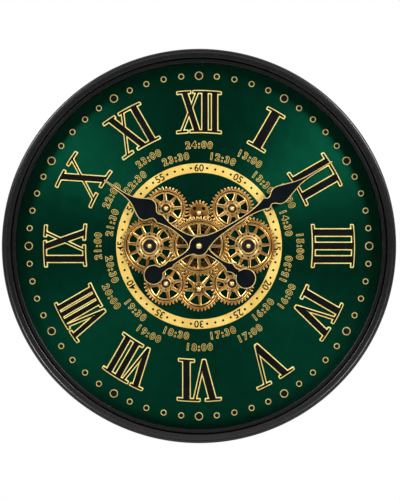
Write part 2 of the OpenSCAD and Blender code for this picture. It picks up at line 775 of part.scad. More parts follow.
// A plastic case whose open side faces the wall, with a battery bay below its works
module case_shell(low, high, bay_from, bay_to) {
    inner_w = movement_w - 2 * case_wall;
    difference() {
        translate([-movement_r, low, cover_front]) cube([movement_w, high - low, case_front - cover_front]);
        translate([-inner_w / 2, bay_to + case_wall, cover_front - cut])
            cube([inner_w, high - bay_to - 2 * case_wall, case_floor - cover_front + cut]);
        translate([-inner_w / 2, bay_from, cover_front - cut])
            cube([inner_w, bay_w, case_floor - cover_front + cut]);
    }
}

// The rim round a battery bay that stands level with the cover
module bay_rim(low, bay_from, bay_to) {
    inner_w = movement_w - 2 * case_wall;
    translate([-movement_r, low, case_back]) difference() {
        cube([movement_w, bay_to - low, case_wall]);
        translate([case_wall, bay_from - low, -cut]) cube([inner_w, bay_w + cut, case_wall + 2 * cut]);
    }
}

// The two bosses that take a cover's screws
module case_bosses(high) {
    for (side = [-1, 1]) {
        translate([side * (movement_r - screw_inset), high - screw_inset, cover_front]) difference() {
            cylinder(r = screw_r + boss_wall, h = case_floor - cover_front + case_wall / 2);
            translate([0, 0, -cut]) cylinder(r = screw_r + seat_fit, h = screw_l + cut);
        }
    }
}

// The two screw holes in a cover
module cover_holes(high) {
    for (side = [-1, 1]) {
        translate([side * (movement_r - screw_inset), high - screw_inset, case_back - cut])
            cylinder(r = screw_r + screw_gap, h = case_wall + 2 * cut);
    }
}

// A small wheel with a hole
module fine_wheel(teeth, turn, hole_r, h) {
    linear_extrude(h) difference() {
        rotate(turn) polygon(fine_outline(teeth));
        circle(r = hole_r);
    }
}

// A screw whose head is under z = 0 and whose shank points up
module screw(l) {
    translate([0, 0, -screw_head_t]) cylinder(r = screw_head_r, h = screw_head_t);
    cylinder(r = screw_r, h = l);
}

// The places of the clips, each turned so that x points outwards
module at_clips() {
    for (i = [0:clips - 1]) {
        rotate(clip_turn + 360 * i / clips) children();
    }
}

module outer_frame() {
    color(black_metal) upright() difference() {
        rotate_extrude() union() {
            profile_bar(skirt_in_r, skirt_in_r + sheet_t, 0, clock_depth - bead_r);
            profile_bar(skirt_in_r - flange_w, skirt_in_r + sheet_t / 2, 0, sheet_t);
            profile_bar(band_in_r, bead_center_r, band_front - sheet_t, band_front);
            profile_bar(band_in_r, band_in_r + sheet_t, groove_floor, band_front);
            translate([bead_center_r, clock_depth - bead_r]) circle(r = bead_r);
        }
        for (side = [-1, 1]) {
            translate([side * (hanger_w / 2 - hanger_screw_inset), hanger_screw_r, -cut])
                cylinder(r = screw_r + seat_fit, h = sheet_t + 2 * cut);
        }
    }
}

module bezel_ring() {
    color(black_metal) upright() rotate_extrude() union() {
        profile_bar(lip_in_r, lip_in_r + sheet_t, dial_front, lip_front);
        profile_bar(lip_in_r, lip_out_r, lip_front - sheet_t, lip_front);
        profile_bar(lip_out_r - sheet_t, lip_out_r, groove_floor - sheet_t, lip_front);
        profile_bar(lip_out_r - sheet_t, band_in_r + sheet_t, groove_floor - sheet_t, groove_floor);
    }
}

module dial_plate() {
    hole_h = dial_t + 2 * cut;
    color(dial_green) upright() translate([0, 0, dial_back]) difference() {
        cylinder(r = dial_r, h = dial_t);
        translate([0, 0, -cut]) cylinder(r = bush_r + seat_fit, h = hole_h);
        translate([0, -bottom_l, -cut]) cylinder(r = drive_bush_r + seat_fit, h = hole_h);
        for (p = post_places) {
            at_gear(p[0], p[1]) translate([0, 0, -cut]) cylinder(r = post_r + seat_fit, h = hole_h);
        }
        at_clips() translate([skirt_in_r - clip_l / 2, 0, -cut])
            cylinder(r = screw_r + seat_fit, h = screw_l - clip_t + cut);
        for (side = [-1, 1]) {
            translate([side * (movement_r + ear_l / 2), -bottom_l, -cut])
                cylinder(r = screw_r + seat_fit, h = screw_l - ear_t + cut);
        }
    }
}

module minute_ring() {
    color(gold) upright() translate([0, 0, dial_front])
        tube(minute_ring_d / 2, minute_ring_d / 2 - minute_ring_w, minute_ring_t);
}

module hour_eyelets() {
    color(gold) upright() eyelet_places(true)
        tube(hour_eyelet_d / 2, hour_eyelet_d / 2 - eyelet_w, eyelet_t);
}

module minute_eyelets() {
    color(gold) upright() eyelet_places(false)
        tube(minute_eyelet_d / 2, minute_eyelet_d / 2 - eyelet_w, eyelet_t);
}

module eyelet_studs() {
    color(black_paint) upright() union() {
        eyelet_places(true) cylinder(r = hour_eyelet_d / 2 - eyelet_w - seat_fit, h = stud_t);
        eyelet_places(false) cylinder(r = minute_eyelet_d / 2 - eyelet_w - seat_fit, h = stud_t);
    }
}

module gear_posts() {
    color(steel) upright() union() {
        for (p = post_places) {
            at_gear(p[0], p[1]) post(p[2], nut_level(p));
        }
    }
}

module post_washers() {
    color(black_metal) upright() translate([0, 0, washer_z]) union() {
        for (p = post_places) {
            if (p[3] > 0) {
                at_gear(p[0], p[1]) tube(p[3], tip_r + seat_fit, washer_t);
            }
        }
        tube(center_washer_r, sleeve_r - sleeve_step + seat_fit, washer_t);
    }
}

module ball_nuts() {
    color(bright_brass) upright() union() {
        for (p = post_places) {
            at_gear(p[0], p[1]) translate([0, 0, nut_level(p)])
                ball_nut(nut_r, nut_h, tip_r + seat_fit, tip_l + end_play);
        }
    }
}

// A long nut that clamps the movement's bush to the dial and carries the centre gears
module center_sleeve() {
    color(bright_brass) upright() difference() {
        union() {
            translate([0, 0, dial_front]) cylinder(r = sleeve_foot_r, h = rear_lift - end_play);
            translate([0, 0, dial_front]) cylinder(r = sleeve_r, h = washer_z - dial_front);
            translate([0, 0, dial_front]) cylinder(r = sleeve_r - sleeve_step, h = nut_z - dial_front);
        }
        translate([0, 0, dial_front - cut]) cylinder(r = sleeve_in_r, h = nut_z - dial_front + 2 * cut);
    }
}

module center_hub() {
    color(bright_brass) upright() difference() {
        union() {
            translate([0, 0, rear_z]) cylinder(r = center_tube_r, h = boss_top - rear_z);
            translate([0, 0, rear_z + gear_t]) cylinder(r = center_tube_r + center_tube_t, h = layer_gap);
            translate([0, 0, front_z + gear_t]) cylinder(r = center_flange_r, h = flange_t);
            translate([0, 0, front_z + gear_t])
                tube(center_flange_r - dot_inset + ring_w, center_flange_r - dot_inset, flange_t + ring_rise);
        }
        translate([0, 0, rear_z - cut]) cylinder(r = center_bore_r, h = boss_top - rear_z + 2 * cut);
    }
}

module center_gear_front() {
    color(old_brass) upright() translate([0, 0, front_z])
        spoked_gear(center_front_teeth, large_rim_w, center_flange_r - ring_w, center_tube_r + seat_fit,
            large_spokes, large_spoke_w, 0);
}

module center_gear_rear() {
    color(old_brass) upright() translate([0, 0, rear_z])
        spoked_gear(center_rear_teeth, small_rim_w, center_tube_r + center_tube_t, center_tube_r + seat_fit,
            small_spokes, corner_spoke_w, 0);
}

module side_gear(theta) {
    color(old_brass) upright() at_gear(theta, side_l) translate([0, 0, rear_z])
        spoked_gear(side_teeth, large_rim_w, side_flange_r - ring_w, plate_bore(gear_bore_r),
            large_spokes, large_spoke_w, mesh_turn(theta, center_rear_teeth, side_teeth));
}

module corner_gear(theta) {
    color(old_brass) upright() at_gear(theta, corner_l) translate([0, 0, front_z])
        spoked_gear(corner_teeth, small_rim_w, corner_flange_r - ring_w, plate_bore(gear_bore_r),
            small_spokes, corner_spoke_w, mesh_turn(theta, center_front_teeth, corner_teeth));
}

module gear_left() {
    side_gear(left_theta);
}

module gear_right() {
    side_gear(right_theta);
}

module gear_upper_left() {
    corner_gear(upper_left_theta);
}

module gear_upper_right() {
    corner_gear(upper_right_theta);
}

module gear_lower_left() {
    corner_gear(lower_left_theta);
}

module gear_lower_right() {
    corner_gear(lower_right_theta);
}

module gear_bottom() {
    color(old_brass) upright() at_gear(bottom_theta, bottom_l) translate([0, 0, rear_z])
        spoked_gear(bottom_teeth, small_rim_w, bottom_flange_r - ring_w, plate_bore(drive_bore_r),
            small_spokes, bottom_spoke_w, mesh_turn(bottom_theta, center_rear_teeth, bottom_teeth));
}

// The small top gear has a sunk web with round holes, and its boss is part of it
module gear_top() {
    web_r = root_radius(top_teeth);
    hole_place_r = (web_r + top_boss_r) / 2;
    color(old_brass) upright() at_gear(top_theta, top_l) difference() {
        union() {
            translate([0, 0, rear_z]) linear_extrude(gear_t)
                rotate(mesh_turn(top_theta, center_rear_teeth, top_teeth)) polygon(big_outline(top_teeth));
            translate([0, 0, rear_z]) cylinder(r = top_boss_r, h = boss_top - rear_z);
        }
        translate([0, 0, rear_z - cut]) cylinder(r = gear_bore_r, h = boss_top - rear_z + 2 * cut);
        for (i = [0:web_holes - 1]) {
            rotate(web_hole_turn + 360 * i / web_holes) translate([hole_place_r, 0, rear_z - cut])
                cylinder(r = web_hole_r, h = gear_t + 2 * cut);
        }
        translate([0, 0, rear_z + gear_t - web_drop]) tube(web_r - rim_groove_w, top_boss_r, web_drop + cut);
    }
}

module side_hub(theta) {
    color(bright_brass) upright() at_gear(theta, side_l)
        hub(rear_z, side_flange_r, gear_bore_r, large_spokes, dot_r, large_trim_shares);
}

module corner_hub(theta) {
    color(bright_brass) upright() at_gear(theta, corner_l)
        hub(front_z, corner_flange_r, gear_bore_r, small_spokes, small_dot_r, small_trim_shares);
}

module hub_left() {
    side_hub(left_theta);
}

module hub_right() {
    side_hub(right_theta);
}

module hub_upper_left() {
    corner_hub(upper_left_theta);
}

module hub_upper_right() {
    corner_hub(upper_right_theta);
}

module hub_lower_left() {
    corner_hub(lower_left_theta);
}

module hub_lower_right() {
    corner_hub(lower_right_theta);
}

module hub_bottom() {
    color(bright_brass) upright() at_gear(bottom_theta, bottom_l)
        hub(rear_z, bottom_flange_r, drive_bore_r, small_spokes, small_dot_r, small_trim_shares);
}

module hour_hand() {
    color(black_paint) upright() rotate(-hour_angle) translate([0, 0, hour_hand_z])
        hand(hour_runs_shares, hour_hand_l, hour_boss_r, hour_tail_r, hour_tail_l, hour_pipe_r + seat_fit);
}

module minute_hand() {
    color(black_paint) upright() rotate(-minute_angle) translate([0, 0, minute_hand_z])
        hand(minute_runs_shares, minute_hand_l, minute_boss_r, minute_tail_r, minute_tail_l,
            minute_arbor_r + seat_fit);
}

module hand_nut() {
    color(bright_brass) upright() translate([0, 0, minute_hand_z + hand_t])
        ball_nut(hand_nut_r, hand_nut_h, minute_arbor_r + seat_fit, tip_l + end_play);
}

// The hour wheel and its pipe, with a shoulder under the hour hand
module hour_pipe() {
    shoulder_r = hour_pipe_r + hour_pipe_t;
    shoulder_z = bush_top + fine_gap;
    color(bright_brass) upright() difference() {
        union() {
            translate([0, 0, hour_wheel_z]) cylinder(r = hour_pipe_r, h = hour_hand_z + hand_t - hour_wheel_z);
            translate([0, 0, hour_wheel_z]) linear_extrude(wheel_t) polygon(fine_outline(hour_wheel_teeth));
            translate([0, 0, shoulder_z]) cylinder(r = shoulder_r, h = hour_hand_z - shoulder_z);
        }
        translate([0, 0, hour_wheel_z - cut])
            cylinder(r = hour_pipe_in_r, h = hour_hand_z + hand_t - hour_wheel_z + 2 * cut);
    }
}

// The minute arbor with its pinion, a rear pivot and a shoulder under the minute hand
module minute_arbor() {
    arbor_z = cover_front + end_play;
    shoulder_z = hour_hand_z + hand_t + fine_gap;
    shoulder_r = minute_arbor_r + hour_pipe_t;
    color(steel) upright() union() {
        translate([0, 0, case_back]) cylinder(r = pivot_r, h = case_t);
        translate([0, 0, arbor_z]) cylinder(r = minute_arbor_r, h = minute_hand_z + hand_t + tip_l - arbor_z);
        translate([0, 0, set_wheel_z - fine_gap]) linear_extrude(pinion_t)
            polygon(fine_outline(minute_pinion_teeth));
        translate([0, 0, shoulder_z]) cylinder(r = shoulder_r, h = minute_hand_z - shoulder_z);
    }
}

// The movement's case with the threaded bush on its front
module movement_case() {
    color(black_plastic) upright() difference() {
        union() {
            case_shell(-movement_r, movement_r, bay_low, bay_high);
            bay_rim(-movement_r, bay_low, bay_high);
            case_bosses(movement_r);
            translate([0, 0, case_floor]) cylinder(r = bush_r, h = bush_top - case_floor);
        }
        translate([0, 0, case_floor - cut]) cylinder(r = bush_in_r, h = bush_top - case_floor + 2 * cut);
    }
}

module movement_cover() {
    color(black_plastic) upright() difference() {
        translate([-movement_r, bay_high, case_back]) cube([movement_w, movement_r - bay_high, case_wall]);
        cover_holes(movement_r);
        translate([0, 0, case_back - cut]) cylinder(r = pivot_r + run_fit, h = case_wall + 2 * cut);
        translate([0, set_l, case_back - cut]) cylinder(r = set_shaft_r + run_fit, h = case_wall + 2 * cut);
    }
}

// The step motor's coil on its core, and the circuit board with its chip
module movement_parts() {
    coil_x = -movement_r + case_wall + coil_flange_r + fine_gap;
    coil_z = case_floor - coil_flange_r;
    board_x = movement_r - case_wall - board_w - fine_gap;
    coil_low = -coil_l / 2 + board_t;
    color(copper) upright() translate([coil_x, coil_low, coil_z]) rotate([-90, 0, 0]) union() {
        cylinder(r = coil_r, h = coil_l);
        cylinder(r = coil_flange_r, h = coil_flange_t);
        translate([0, 0, coil_l - coil_flange_t]) cylinder(r = coil_flange_r, h = coil_flange_t);
    }
    color(board_green) upright() translate([board_x, coil_low, case_floor - board_t]) union() {
        cube([board_w, board_l, board_t]);
        translate([board_w / 2 - chip_w / 2, board_l / 2 - chip_w / 2, -board_t])
            cube([chip_w, chip_w, board_t]);
    }
}

// The set wheel and its pinion on a shaft that carries the knob behind the cover
module set_wheel() {
    knob_z = case_back - knob_gap - knob_h;
    wheel_turn = mesh_turn(top_theta, minute_pinion_teeth, set_wheel_teeth);
    pinion_turn = mesh_turn(top_theta, hour_wheel_teeth, set_pinion_teeth);
    color(steel) upright() translate([0, set_l, 0]) union() {
        translate([0, 0, knob_z]) cylinder(r = set_shaft_r, h = case_floor - end_play - knob_z);
        translate([0, 0, knob_z]) cylinder(r = knob_r, h = knob_h);
        translate([0, 0, set_wheel_z]) linear_extrude(wheel_t)
            rotate(wheel_turn) polygon(fine_outline(set_wheel_teeth));
        translate([0, 0, hour_wheel_z - fine_gap]) linear_extrude(set_pinion_t)
            rotate(pinion_turn) polygon(fine_outline(set_pinion_teeth));
    }
}

// The gear drive's case, with ears for its screws and a bush through the dial
module drive_case() {
    color(black_plastic) upright() translate([0, -bottom_l, 0]) difference() {
        union() {
            case_shell(-drive_down, drive_up, drive_bay_low, drive_bay_high);
            bay_rim(-drive_down, drive_bay_low, drive_bay_high);
            case_bosses(drive_up);
            translate([0, 0, case_floor])
                cylinder(r = drive_bush_r, h = dial_front + rear_lift / 2 - case_floor);
            translate([-movement_r - ear_l, -ear_w / 2, case_front - ear_t])
                cube([movement_w + 2 * ear_l, ear_w, case_wall]);
            for (side = [-1, 1]) {
                translate([side * (movement_r + ear_l / 2) - ear_l / 2, -ear_w / 2, case_front - ear_t])
                    cube([ear_l, ear_w, ear_t]);
            }
        }
        translate([-movement_r + case_wall, -ear_w / 2 - cut, case_front - ear_t - cut])
            cube([movement_w - 2 * case_wall, ear_w + 2 * cut, ear_t + cut - case_wall]);
        translate([0, 0, case_floor - cut])
            cylinder(r = drive_arbor_r + run_fit, h = dial_front + rear_lift - case_floor + cut);
        for (side = [-1, 1]) {
            translate([side * (movement_r + ear_l / 2), 0, case_front - ear_t - cut])
                cylinder(r = screw_r + seat_fit, h = ear_t + 2 * cut);
        }
    }
}

module drive_cover() {
    slot_l = switch_neck_l + 2 * switch_travel + 2 * screw_gap;
    slot_w = switch_neck_w + 2 * screw_gap;
    color(black_plastic) upright() translate([0, -bottom_l, 0]) difference() {
        translate([-movement_r, drive_bay_high, case_back])
            cube([movement_w, drive_up - drive_bay_high, case_wall]);
        cover_holes(drive_up);
        translate([0, 0, case_back - cut]) cylinder(r = drive_arbor_r + run_fit, h = case_wall + 2 * cut);
        translate([switch_x - slot_w / 2, -slot_l / 2, case_back - cut])
            cube([slot_w, slot_l, case_wall + 2 * cut]);
    }
}

// The small motor stands on the cover, beside the drive wheel's arbor
module drive_motor() {
    color(steel) upright() translate([motor_l, -bottom_l, cover_front])
        tube(motor_r, motor_shaft_r + run_fit, motor_h);
}

module motor_pinion() {
    color(bright_brass) upright() translate([motor_l, -bottom_l, cover_front]) union() {
        cylinder(r = motor_shaft_r, h = case_floor - end_play - cover_front);
        translate([0, 0, motor_h + fine_gap]) linear_extrude(pinion_t)
            rotate(mesh_turn(right_theta, drive_wheel_teeth, motor_pinion_teeth))
            polygon(fine_outline(motor_pinion_teeth));
    }
}

// The drive's arbor with its wheel, its washer and the ball nut on its tip
module drive_arbor() {
    color(bright_brass) upright() translate([0, -bottom_l, 0]) union() {
        translate([0, 0, case_back]) cylinder(r = drive_arbor_r, h = boss_top + end_play - case_back);
        translate([0, 0, cover_front + motor_h + 2 * fine_gap]) linear_extrude(wheel_t)
            polygon(fine_outline(drive_wheel_teeth));
        translate([0, 0, boss_top]) cylinder(r = corner_washer_r, h = end_play + washer_t);
        translate([0, 0, nut_z]) ball_top(nut_r, nut_h);
    }
}

module switch_slider() {
    color(steel) upright() translate([switch_x, -bottom_l - switch_travel, 0]) union() {
        translate([-switch_w / 2, -switch_l / 2, cover_front]) cube([switch_w, switch_l, switch_foot_t]);
        translate([-switch_neck_w / 2, -switch_neck_l / 2, case_back - switch_h])
            cube([switch_neck_w, switch_neck_l, switch_h + case_wall + switch_foot_t / 2]);
    }
}

// The two contacts of one bay, which is given by its middle
module bay_contacts(middle_y) {
    end_x = movement_r - case_wall;
    contact_z = (case_back + case_floor) / 2;
    for (side = [-1, 1]) {
        translate([side * end_x, middle_y, contact_z]) rotate([0, -side * 90, 0]) union() {
            translate([-contact_w / 2, -contact_w / 2, 0]) cube([contact_w, contact_w, contact_t]);
            cylinder(r = contact_nub_r, h = contact_t + contact_nub_h);
        }
    }
}

module battery_contacts() {
    color(steel) upright() union() {
        bay_contacts((bay_low + bay_high) / 2);
        bay_contacts((drive_bay_low + drive_bay_high) / 2 - bottom_l);
    }
}

// A clip: a foot on the dial's back and a leg on the inside of the frame
module dial_clips() {
    leg_r = sqrt(pow(skirt_in_r, 2) - pow(clip_w / 2, 2)) - clip_fit;
    color(steel) upright() at_clips() difference() {
        union() {
            translate([skirt_in_r - clip_l, -clip_w / 2, dial_back - clip_t])
                cube([leg_r - skirt_in_r + clip_l, clip_w, clip_t]);
            translate([leg_r - clip_t, -clip_w / 2, dial_back - clip_h]) cube([clip_t, clip_w, clip_h]);
        }
        translate([skirt_in_r - clip_l / 2, 0, dial_back - clip_t - cut])
            cylinder(r = screw_r + seat_fit, h = clip_t + 2 * cut);
    }
}

// The hanger plate, whose keyhole takes the head of one wall screw
module hanger() {
    color(steel) upright() translate([0, 0, sheet_t]) difference() {
        intersection() {
            translate([-hanger_w / 2, hanger_low, 0]) cube([hanger_w, hanger_top - hanger_low, sheet_t]);
            cylinder(r = hanger_top, h = sheet_t);
        }
        translate([0, key_entry_y, -cut]) cylinder(r = key_entry_r, h = sheet_t + 2 * cut);
        translate([0, key_slot_y, -cut]) cylinder(r = key_slot_w / 2, h = sheet_t + 2 * cut);
        translate([-key_slot_w / 2, key_entry_y, -cut]) cube([key_slot_w, key_slot_l, sheet_t + 2 * cut]);
        for (side = [-1, 1]) {
            translate([side * (hanger_w / 2 - hanger_screw_inset), hanger_screw_r, -cut])
                cylinder(r = screw_r + seat_fit, h = sheet_t + 2 * cut);
        }
    }
}

module screws() {
    color(steel) upright() union() {
        for (side = [-1, 1]) {
            translate([side * (movement_r - screw_inset), movement_r - screw_inset, case_back])
                screw(screw_l + case_wall - screw_gap);
            translate([side * (movement_r - screw_inset), drive_up - screw_inset - bottom_l, case_back])
                screw(screw_l + case_wall - screw_gap);
            translate([side * (movement_r + ear_l / 2), -bottom_l, case_front - ear_t])
                screw(screw_l - screw_gap);
            translate([side * (hanger_w / 2 - hanger_screw_inset), hanger_screw_r, 2 * sheet_t])
                mirror([0, 0, 1]) screw(2 * sheet_t - screw_gap);
        }
        at_clips() translate([skirt_in_r - clip_l / 2, 0, dial_back - clip_t]) screw(screw_l - screw_gap);
    }
}

outer_frame();
bezel_ring();
dial_plate();
minute_ring();
hour_eyelets();
minute_eyelets();
eyelet_studs();
numeral(0);  // numeral_12
numeral(1);  // numeral_1
numeral(2);  // numeral_2
numeral(3);  // numeral_3
numeral(4);  // numeral_4
numeral(5);  // numeral_5
numeral(6);  // numeral_6
numeral(7);  // numeral_7
numeral(8);  // numeral_8
numeral(9);  // numeral_9
numeral(10);  // numeral_10
numeral(11);  // numeral_11
gear_posts();
post_washers();
ball_nuts();
center_sleeve();
center_hub();
center_gear_front();
center_gear_rear();
gear_left();
gear_right();
gear_upper_left();
gear_upper_right();
gear_lower_left();
gear_lower_right();
gear_bottom();
gear_top();
hub_left();
hub_right();
hub_upper_left();
hub_upper_right();
hub_lower_left();
hub_lower_right();
hub_bottom();
hour_hand();
minute_hand();
hand_nut();
hour_pipe();
minute_arbor();
movement_case();
movement_cover();
movement_parts();
set_wheel();
drive_case();
drive_cover();
drive_motor();
motor_pinion();
drive_arbor();
switch_slider();
battery_contacts();
dial_clips();
hanger();
screws();
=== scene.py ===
import math

import bmesh
import bpy
from mathutils import Matrix, Vector


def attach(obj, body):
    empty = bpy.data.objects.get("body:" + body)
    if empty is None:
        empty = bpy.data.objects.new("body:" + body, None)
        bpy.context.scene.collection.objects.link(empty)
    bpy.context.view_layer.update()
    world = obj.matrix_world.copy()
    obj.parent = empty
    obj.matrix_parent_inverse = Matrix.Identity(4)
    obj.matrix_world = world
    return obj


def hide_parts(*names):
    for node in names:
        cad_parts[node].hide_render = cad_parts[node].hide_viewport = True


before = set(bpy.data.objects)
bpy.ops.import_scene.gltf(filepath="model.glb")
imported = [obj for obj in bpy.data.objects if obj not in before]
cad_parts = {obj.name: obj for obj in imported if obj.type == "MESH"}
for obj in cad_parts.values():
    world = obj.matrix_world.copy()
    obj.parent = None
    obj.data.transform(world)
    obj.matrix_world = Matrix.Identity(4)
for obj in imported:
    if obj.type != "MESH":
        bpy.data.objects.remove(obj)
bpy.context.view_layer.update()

standUp = Matrix.Rotation(math.pi / 2, 4, "X") @ Matrix.Scale(0.001, 4)
layDown = standUp.inverted()
hourAngle, minuteAngle = 30, 6
near = 0.01  # heights closer than this, in mm, count as the same


def clockTurn(angle):
    # clockwise from twelve, seen from the front
    return Matrix.Rotation(-math.radians(angle), 4, "Z")


def copied(nodeName):
    # a CAD node's mesh in dial millimetres, with its loose triangles merged to flat faces
    weldMetres, flatDegrees = 2e-6, 1
    bm = bmesh.new()
    bm.from_mesh(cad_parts[nodeName].data)
    bmesh.ops.remove_doubles(bm, verts=bm.verts, dist=weldMetres)
    bmesh.ops.transform(bm, matrix=layDown, verts=bm.verts)
    bmesh.ops.dissolve_limit(bm, angle_limit=math.radians(flatDegrees), verts=bm.verts, edges=bm.edges,
                             delimit=set())
    return bm


def turned(bm, profile, steps, place=(0, 0, 0)):
    # spins a closed outline of (radius, height) points about the dial's axis, then moves it to its place
    old = set(bm.verts)
    verts = [bm.verts.new((r, 0, z)) for r, z in profile]
    edges = [bm.edges.new((a, b)) for a, b in zip(verts, verts[1:] + verts[:1])]
    bmesh.ops.spin(bm, geom=verts + edges, cent=(0, 0, 0), axis=(0, 0, 1), angle=2 * math.pi, steps=steps,
                   use_merge=True, use_duplicate=False)
    bmesh.ops.translate(bm, verts=[v for v in bm.verts if v not in old], vec=place)


def rise(verts):
    # how far the highest of some vertices is above the lowest
    heights = [v.co.z for v in verts]
    return max(heights) - min(heights)


def sharpEdges(bm, limit):
    return [e for e in bm.edges if len(e.link_faces) == 2 and e.calc_face_angle(0) > math.radians(limit)]


def eased(bm, edges, width, segments=2, clamp=True):
    bmesh.ops.bevel(bm, geom=edges, offset=width, offset_type="OFFSET", segments=segments, profile=0.5,
                    affect="EDGES", clamp_overlap=clamp, material=-1)


def sloped(bm, faces, width, drop):
    # a narrow slope round flat faces, made with an inset, which stays whole where a bevel would fold
    flat = bmesh.ops.triangulate(bm, faces=faces)["faces"]
    strip = bmesh.ops.inset_region(bm, faces=flat, thickness=width, depth=0.0, use_boundary=True,
                                   use_even_offset=False)["faces"]
    kept = {v for f in flat for v in f.verts}
    outline = {v for f in strip for v in f.verts} - kept
    bmesh.ops.translate(bm, verts=list(outline), vec=(0, 0, -drop))
    return strip


def cleaned(bm):
    bmesh.ops.remove_doubles(bm, verts=bm.verts, dist=0.002)
    bmesh.ops.recalc_face_normals(bm, faces=bm.faces)


def settled(bm, name, body, materials, nodes=(), sharp=32):
    # stands a finished mesh upright, in metres, and hands it to its body
    flatFacing = 0.9995
    for face in bm.faces:
        face.smooth = abs(face.normal.z) < flatFacing
    creases = set(sharpEdges(bm, sharp))
    for edge in bm.edges:
        edge.smooth = edge not in creases
    bmesh.ops.transform(bm, matrix=standUp, verts=bm.verts)
    mesh = bpy.data.meshes.new(name)
    bm.to_mesh(mesh)
    bm.free()
    for material in materials:
        mesh.materials.append(material)
    piece = bpy.data.objects.new(name, mesh)
    bpy.context.scene.collection.objects.link(piece)
    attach(piece, body)
    if nodes:
        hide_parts(*nodes)


def paint(red, green, blue):
    # an eight-bit screen colour as linear light
    values = [c / 255 for c in (red, green, blue)]
    return [v / 12.92 if v < 0.04 else ((v + 0.055) / 1.055) ** 2.4 for v in values] + [1.0]


def fed(tree, socket, value):
    # links a socket to another one, or gives it a plain value
    if isinstance(value, bpy.types.NodeSocket):
        tree.links.new(value, socket)
    elif value is not None:
        socket.default_value = value


def newGroup(name, inputs, outputs):
    # a node group with float sockets, and a vector socket for each input that has no value of its own
    group = bpy.data.node_groups.new(name, "ShaderNodeTree")
    for label, value in inputs.items():
        kind = "NodeSocketVector" if value is None else "NodeSocketFloat"
        socket = group.interface.new_socket(name=label, in_out="INPUT", socket_type=kind)
        if value is not None:
            socket.default_value = value
    for label in outputs:
        group.interface.new_socket(name=label, in_out="OUTPUT", socket_type="NodeSocketFloat")
    return group, group.nodes.new("NodeGroupInput").outputs, group.nodes.new("NodeGroupOutput").inputs


def mathNode(tree, operation, first, second=None, third=None, clamp=False):
    node = tree.nodes.new("ShaderNodeMath")
    node.operation = operation
    node.use_clamp = clamp
    for socket, value in zip(node.inputs, (first, second, third)):
        fed(tree, socket, value)
    return node.outputs[0]


def rangeNode(tree, value, fromMin, fromMax, toMin=0.0, toMax=1.0, kind="SMOOTHSTEP"):
    node = tree.nodes.new("ShaderNodeMapRange")
    node.interpolation_type = kind
    for label, number in (("Value", value), ("From Min", fromMin), ("From Max", fromMax), ("To Min", toMin),
                          ("To Max", toMax)):
        fed(tree, node.inputs[label], number)
    return node.outputs["Result"]


def mixNode(tree, share, first, second):
    # for colours, the mix node's own sockets are inputs 6 and 7 and output 2
    node = tree.nodes.new("ShaderNodeMix")
    node.data_type = "RGBA"
    for socket, value in ((node.inputs["Factor"], share), (node.inputs[6], first), (node.inputs[7], second)):
        fed(tree, socket, value)
    return node.outputs[2]


def noiseNode(tree, vector, scale, detail):
    node = tree.nodes.new("ShaderNodeTexNoise")
    for label, value in (("Vector", vector), ("Scale", scale), ("Detail", detail), ("Roughness", 0.55)):
        fed(tree, node.inputs[label], value)
    return node.outputs["Fac"]


def makeRingMarks():
    # lathe and brushing marks: fine rings round the Y axis of the vector, broken up on the way round
    group, source, sink = newGroup("ringMarks", {"Vector": None, "Density": 2500.0}, ["Lines"])
    flat = group.nodes.new("ShaderNodeVectorMath")
    flat.operation = "MULTIPLY"
    flat.inputs[1].default_value = (1, 0, 1)
    group.links.new(source["Vector"], flat.inputs[0])
    radius = group.nodes.new("ShaderNodeVectorMath")
    radius.operation = "LENGTH"
    group.links.new(flat.outputs[0], radius.inputs[0])
    lines = group.nodes.new("ShaderNodeTexNoise")
    lines.noise_dimensions = "1D"
    spread = mathNode(group, "MULTIPLY", radius.outputs["Value"], source["Density"])
    for label, value in (("W", spread), ("Scale", 1.0), ("Detail", 4.0), ("Roughness", 0.6)):
        fed(group, lines.inputs[label], value)
    breaks = mathNode(group, "MULTIPLY_ADD", noiseNode(group, source["Vector"], 60.0, 2.0), 0.35, -0.175)
    group.links.new(mathNode(group, "ADD", lines.outputs["Fac"], breaks), sink["Lines"])
    return group


def makeClouds():
    # patches of tarnish or uneven coating, from 0 to 1
    group, source, sink = newGroup("clouds", {"Vector": None, "Scale": 30.0, "Low": 0.35, "High": 0.65},
                                   ["Mask"])
    cloud = noiseNode(group, source["Vector"], source["Scale"], 4.0)
    group.links.new(rangeNode(group, cloud, source["Low"], source["High"]), sink["Mask"])
    return group


def makeGrain():
    # fine grain of a sprayed or moulded surface, as a height
    group, source, sink = newGroup("grain", {"Vector": None, "Scale": 900.0}, ["Height"])
    fine = noiseNode(group, source["Vector"], source["Scale"], 2.0)
    coarse = noiseNode(group, source["Vector"], mathNode(group, "MULTIPLY", source["Scale"], 0.23), 1.0)
    group.links.new(mathNode(group, "MULTIPLY_ADD", coarse, 0.5, fine), sink["Height"])
    return group


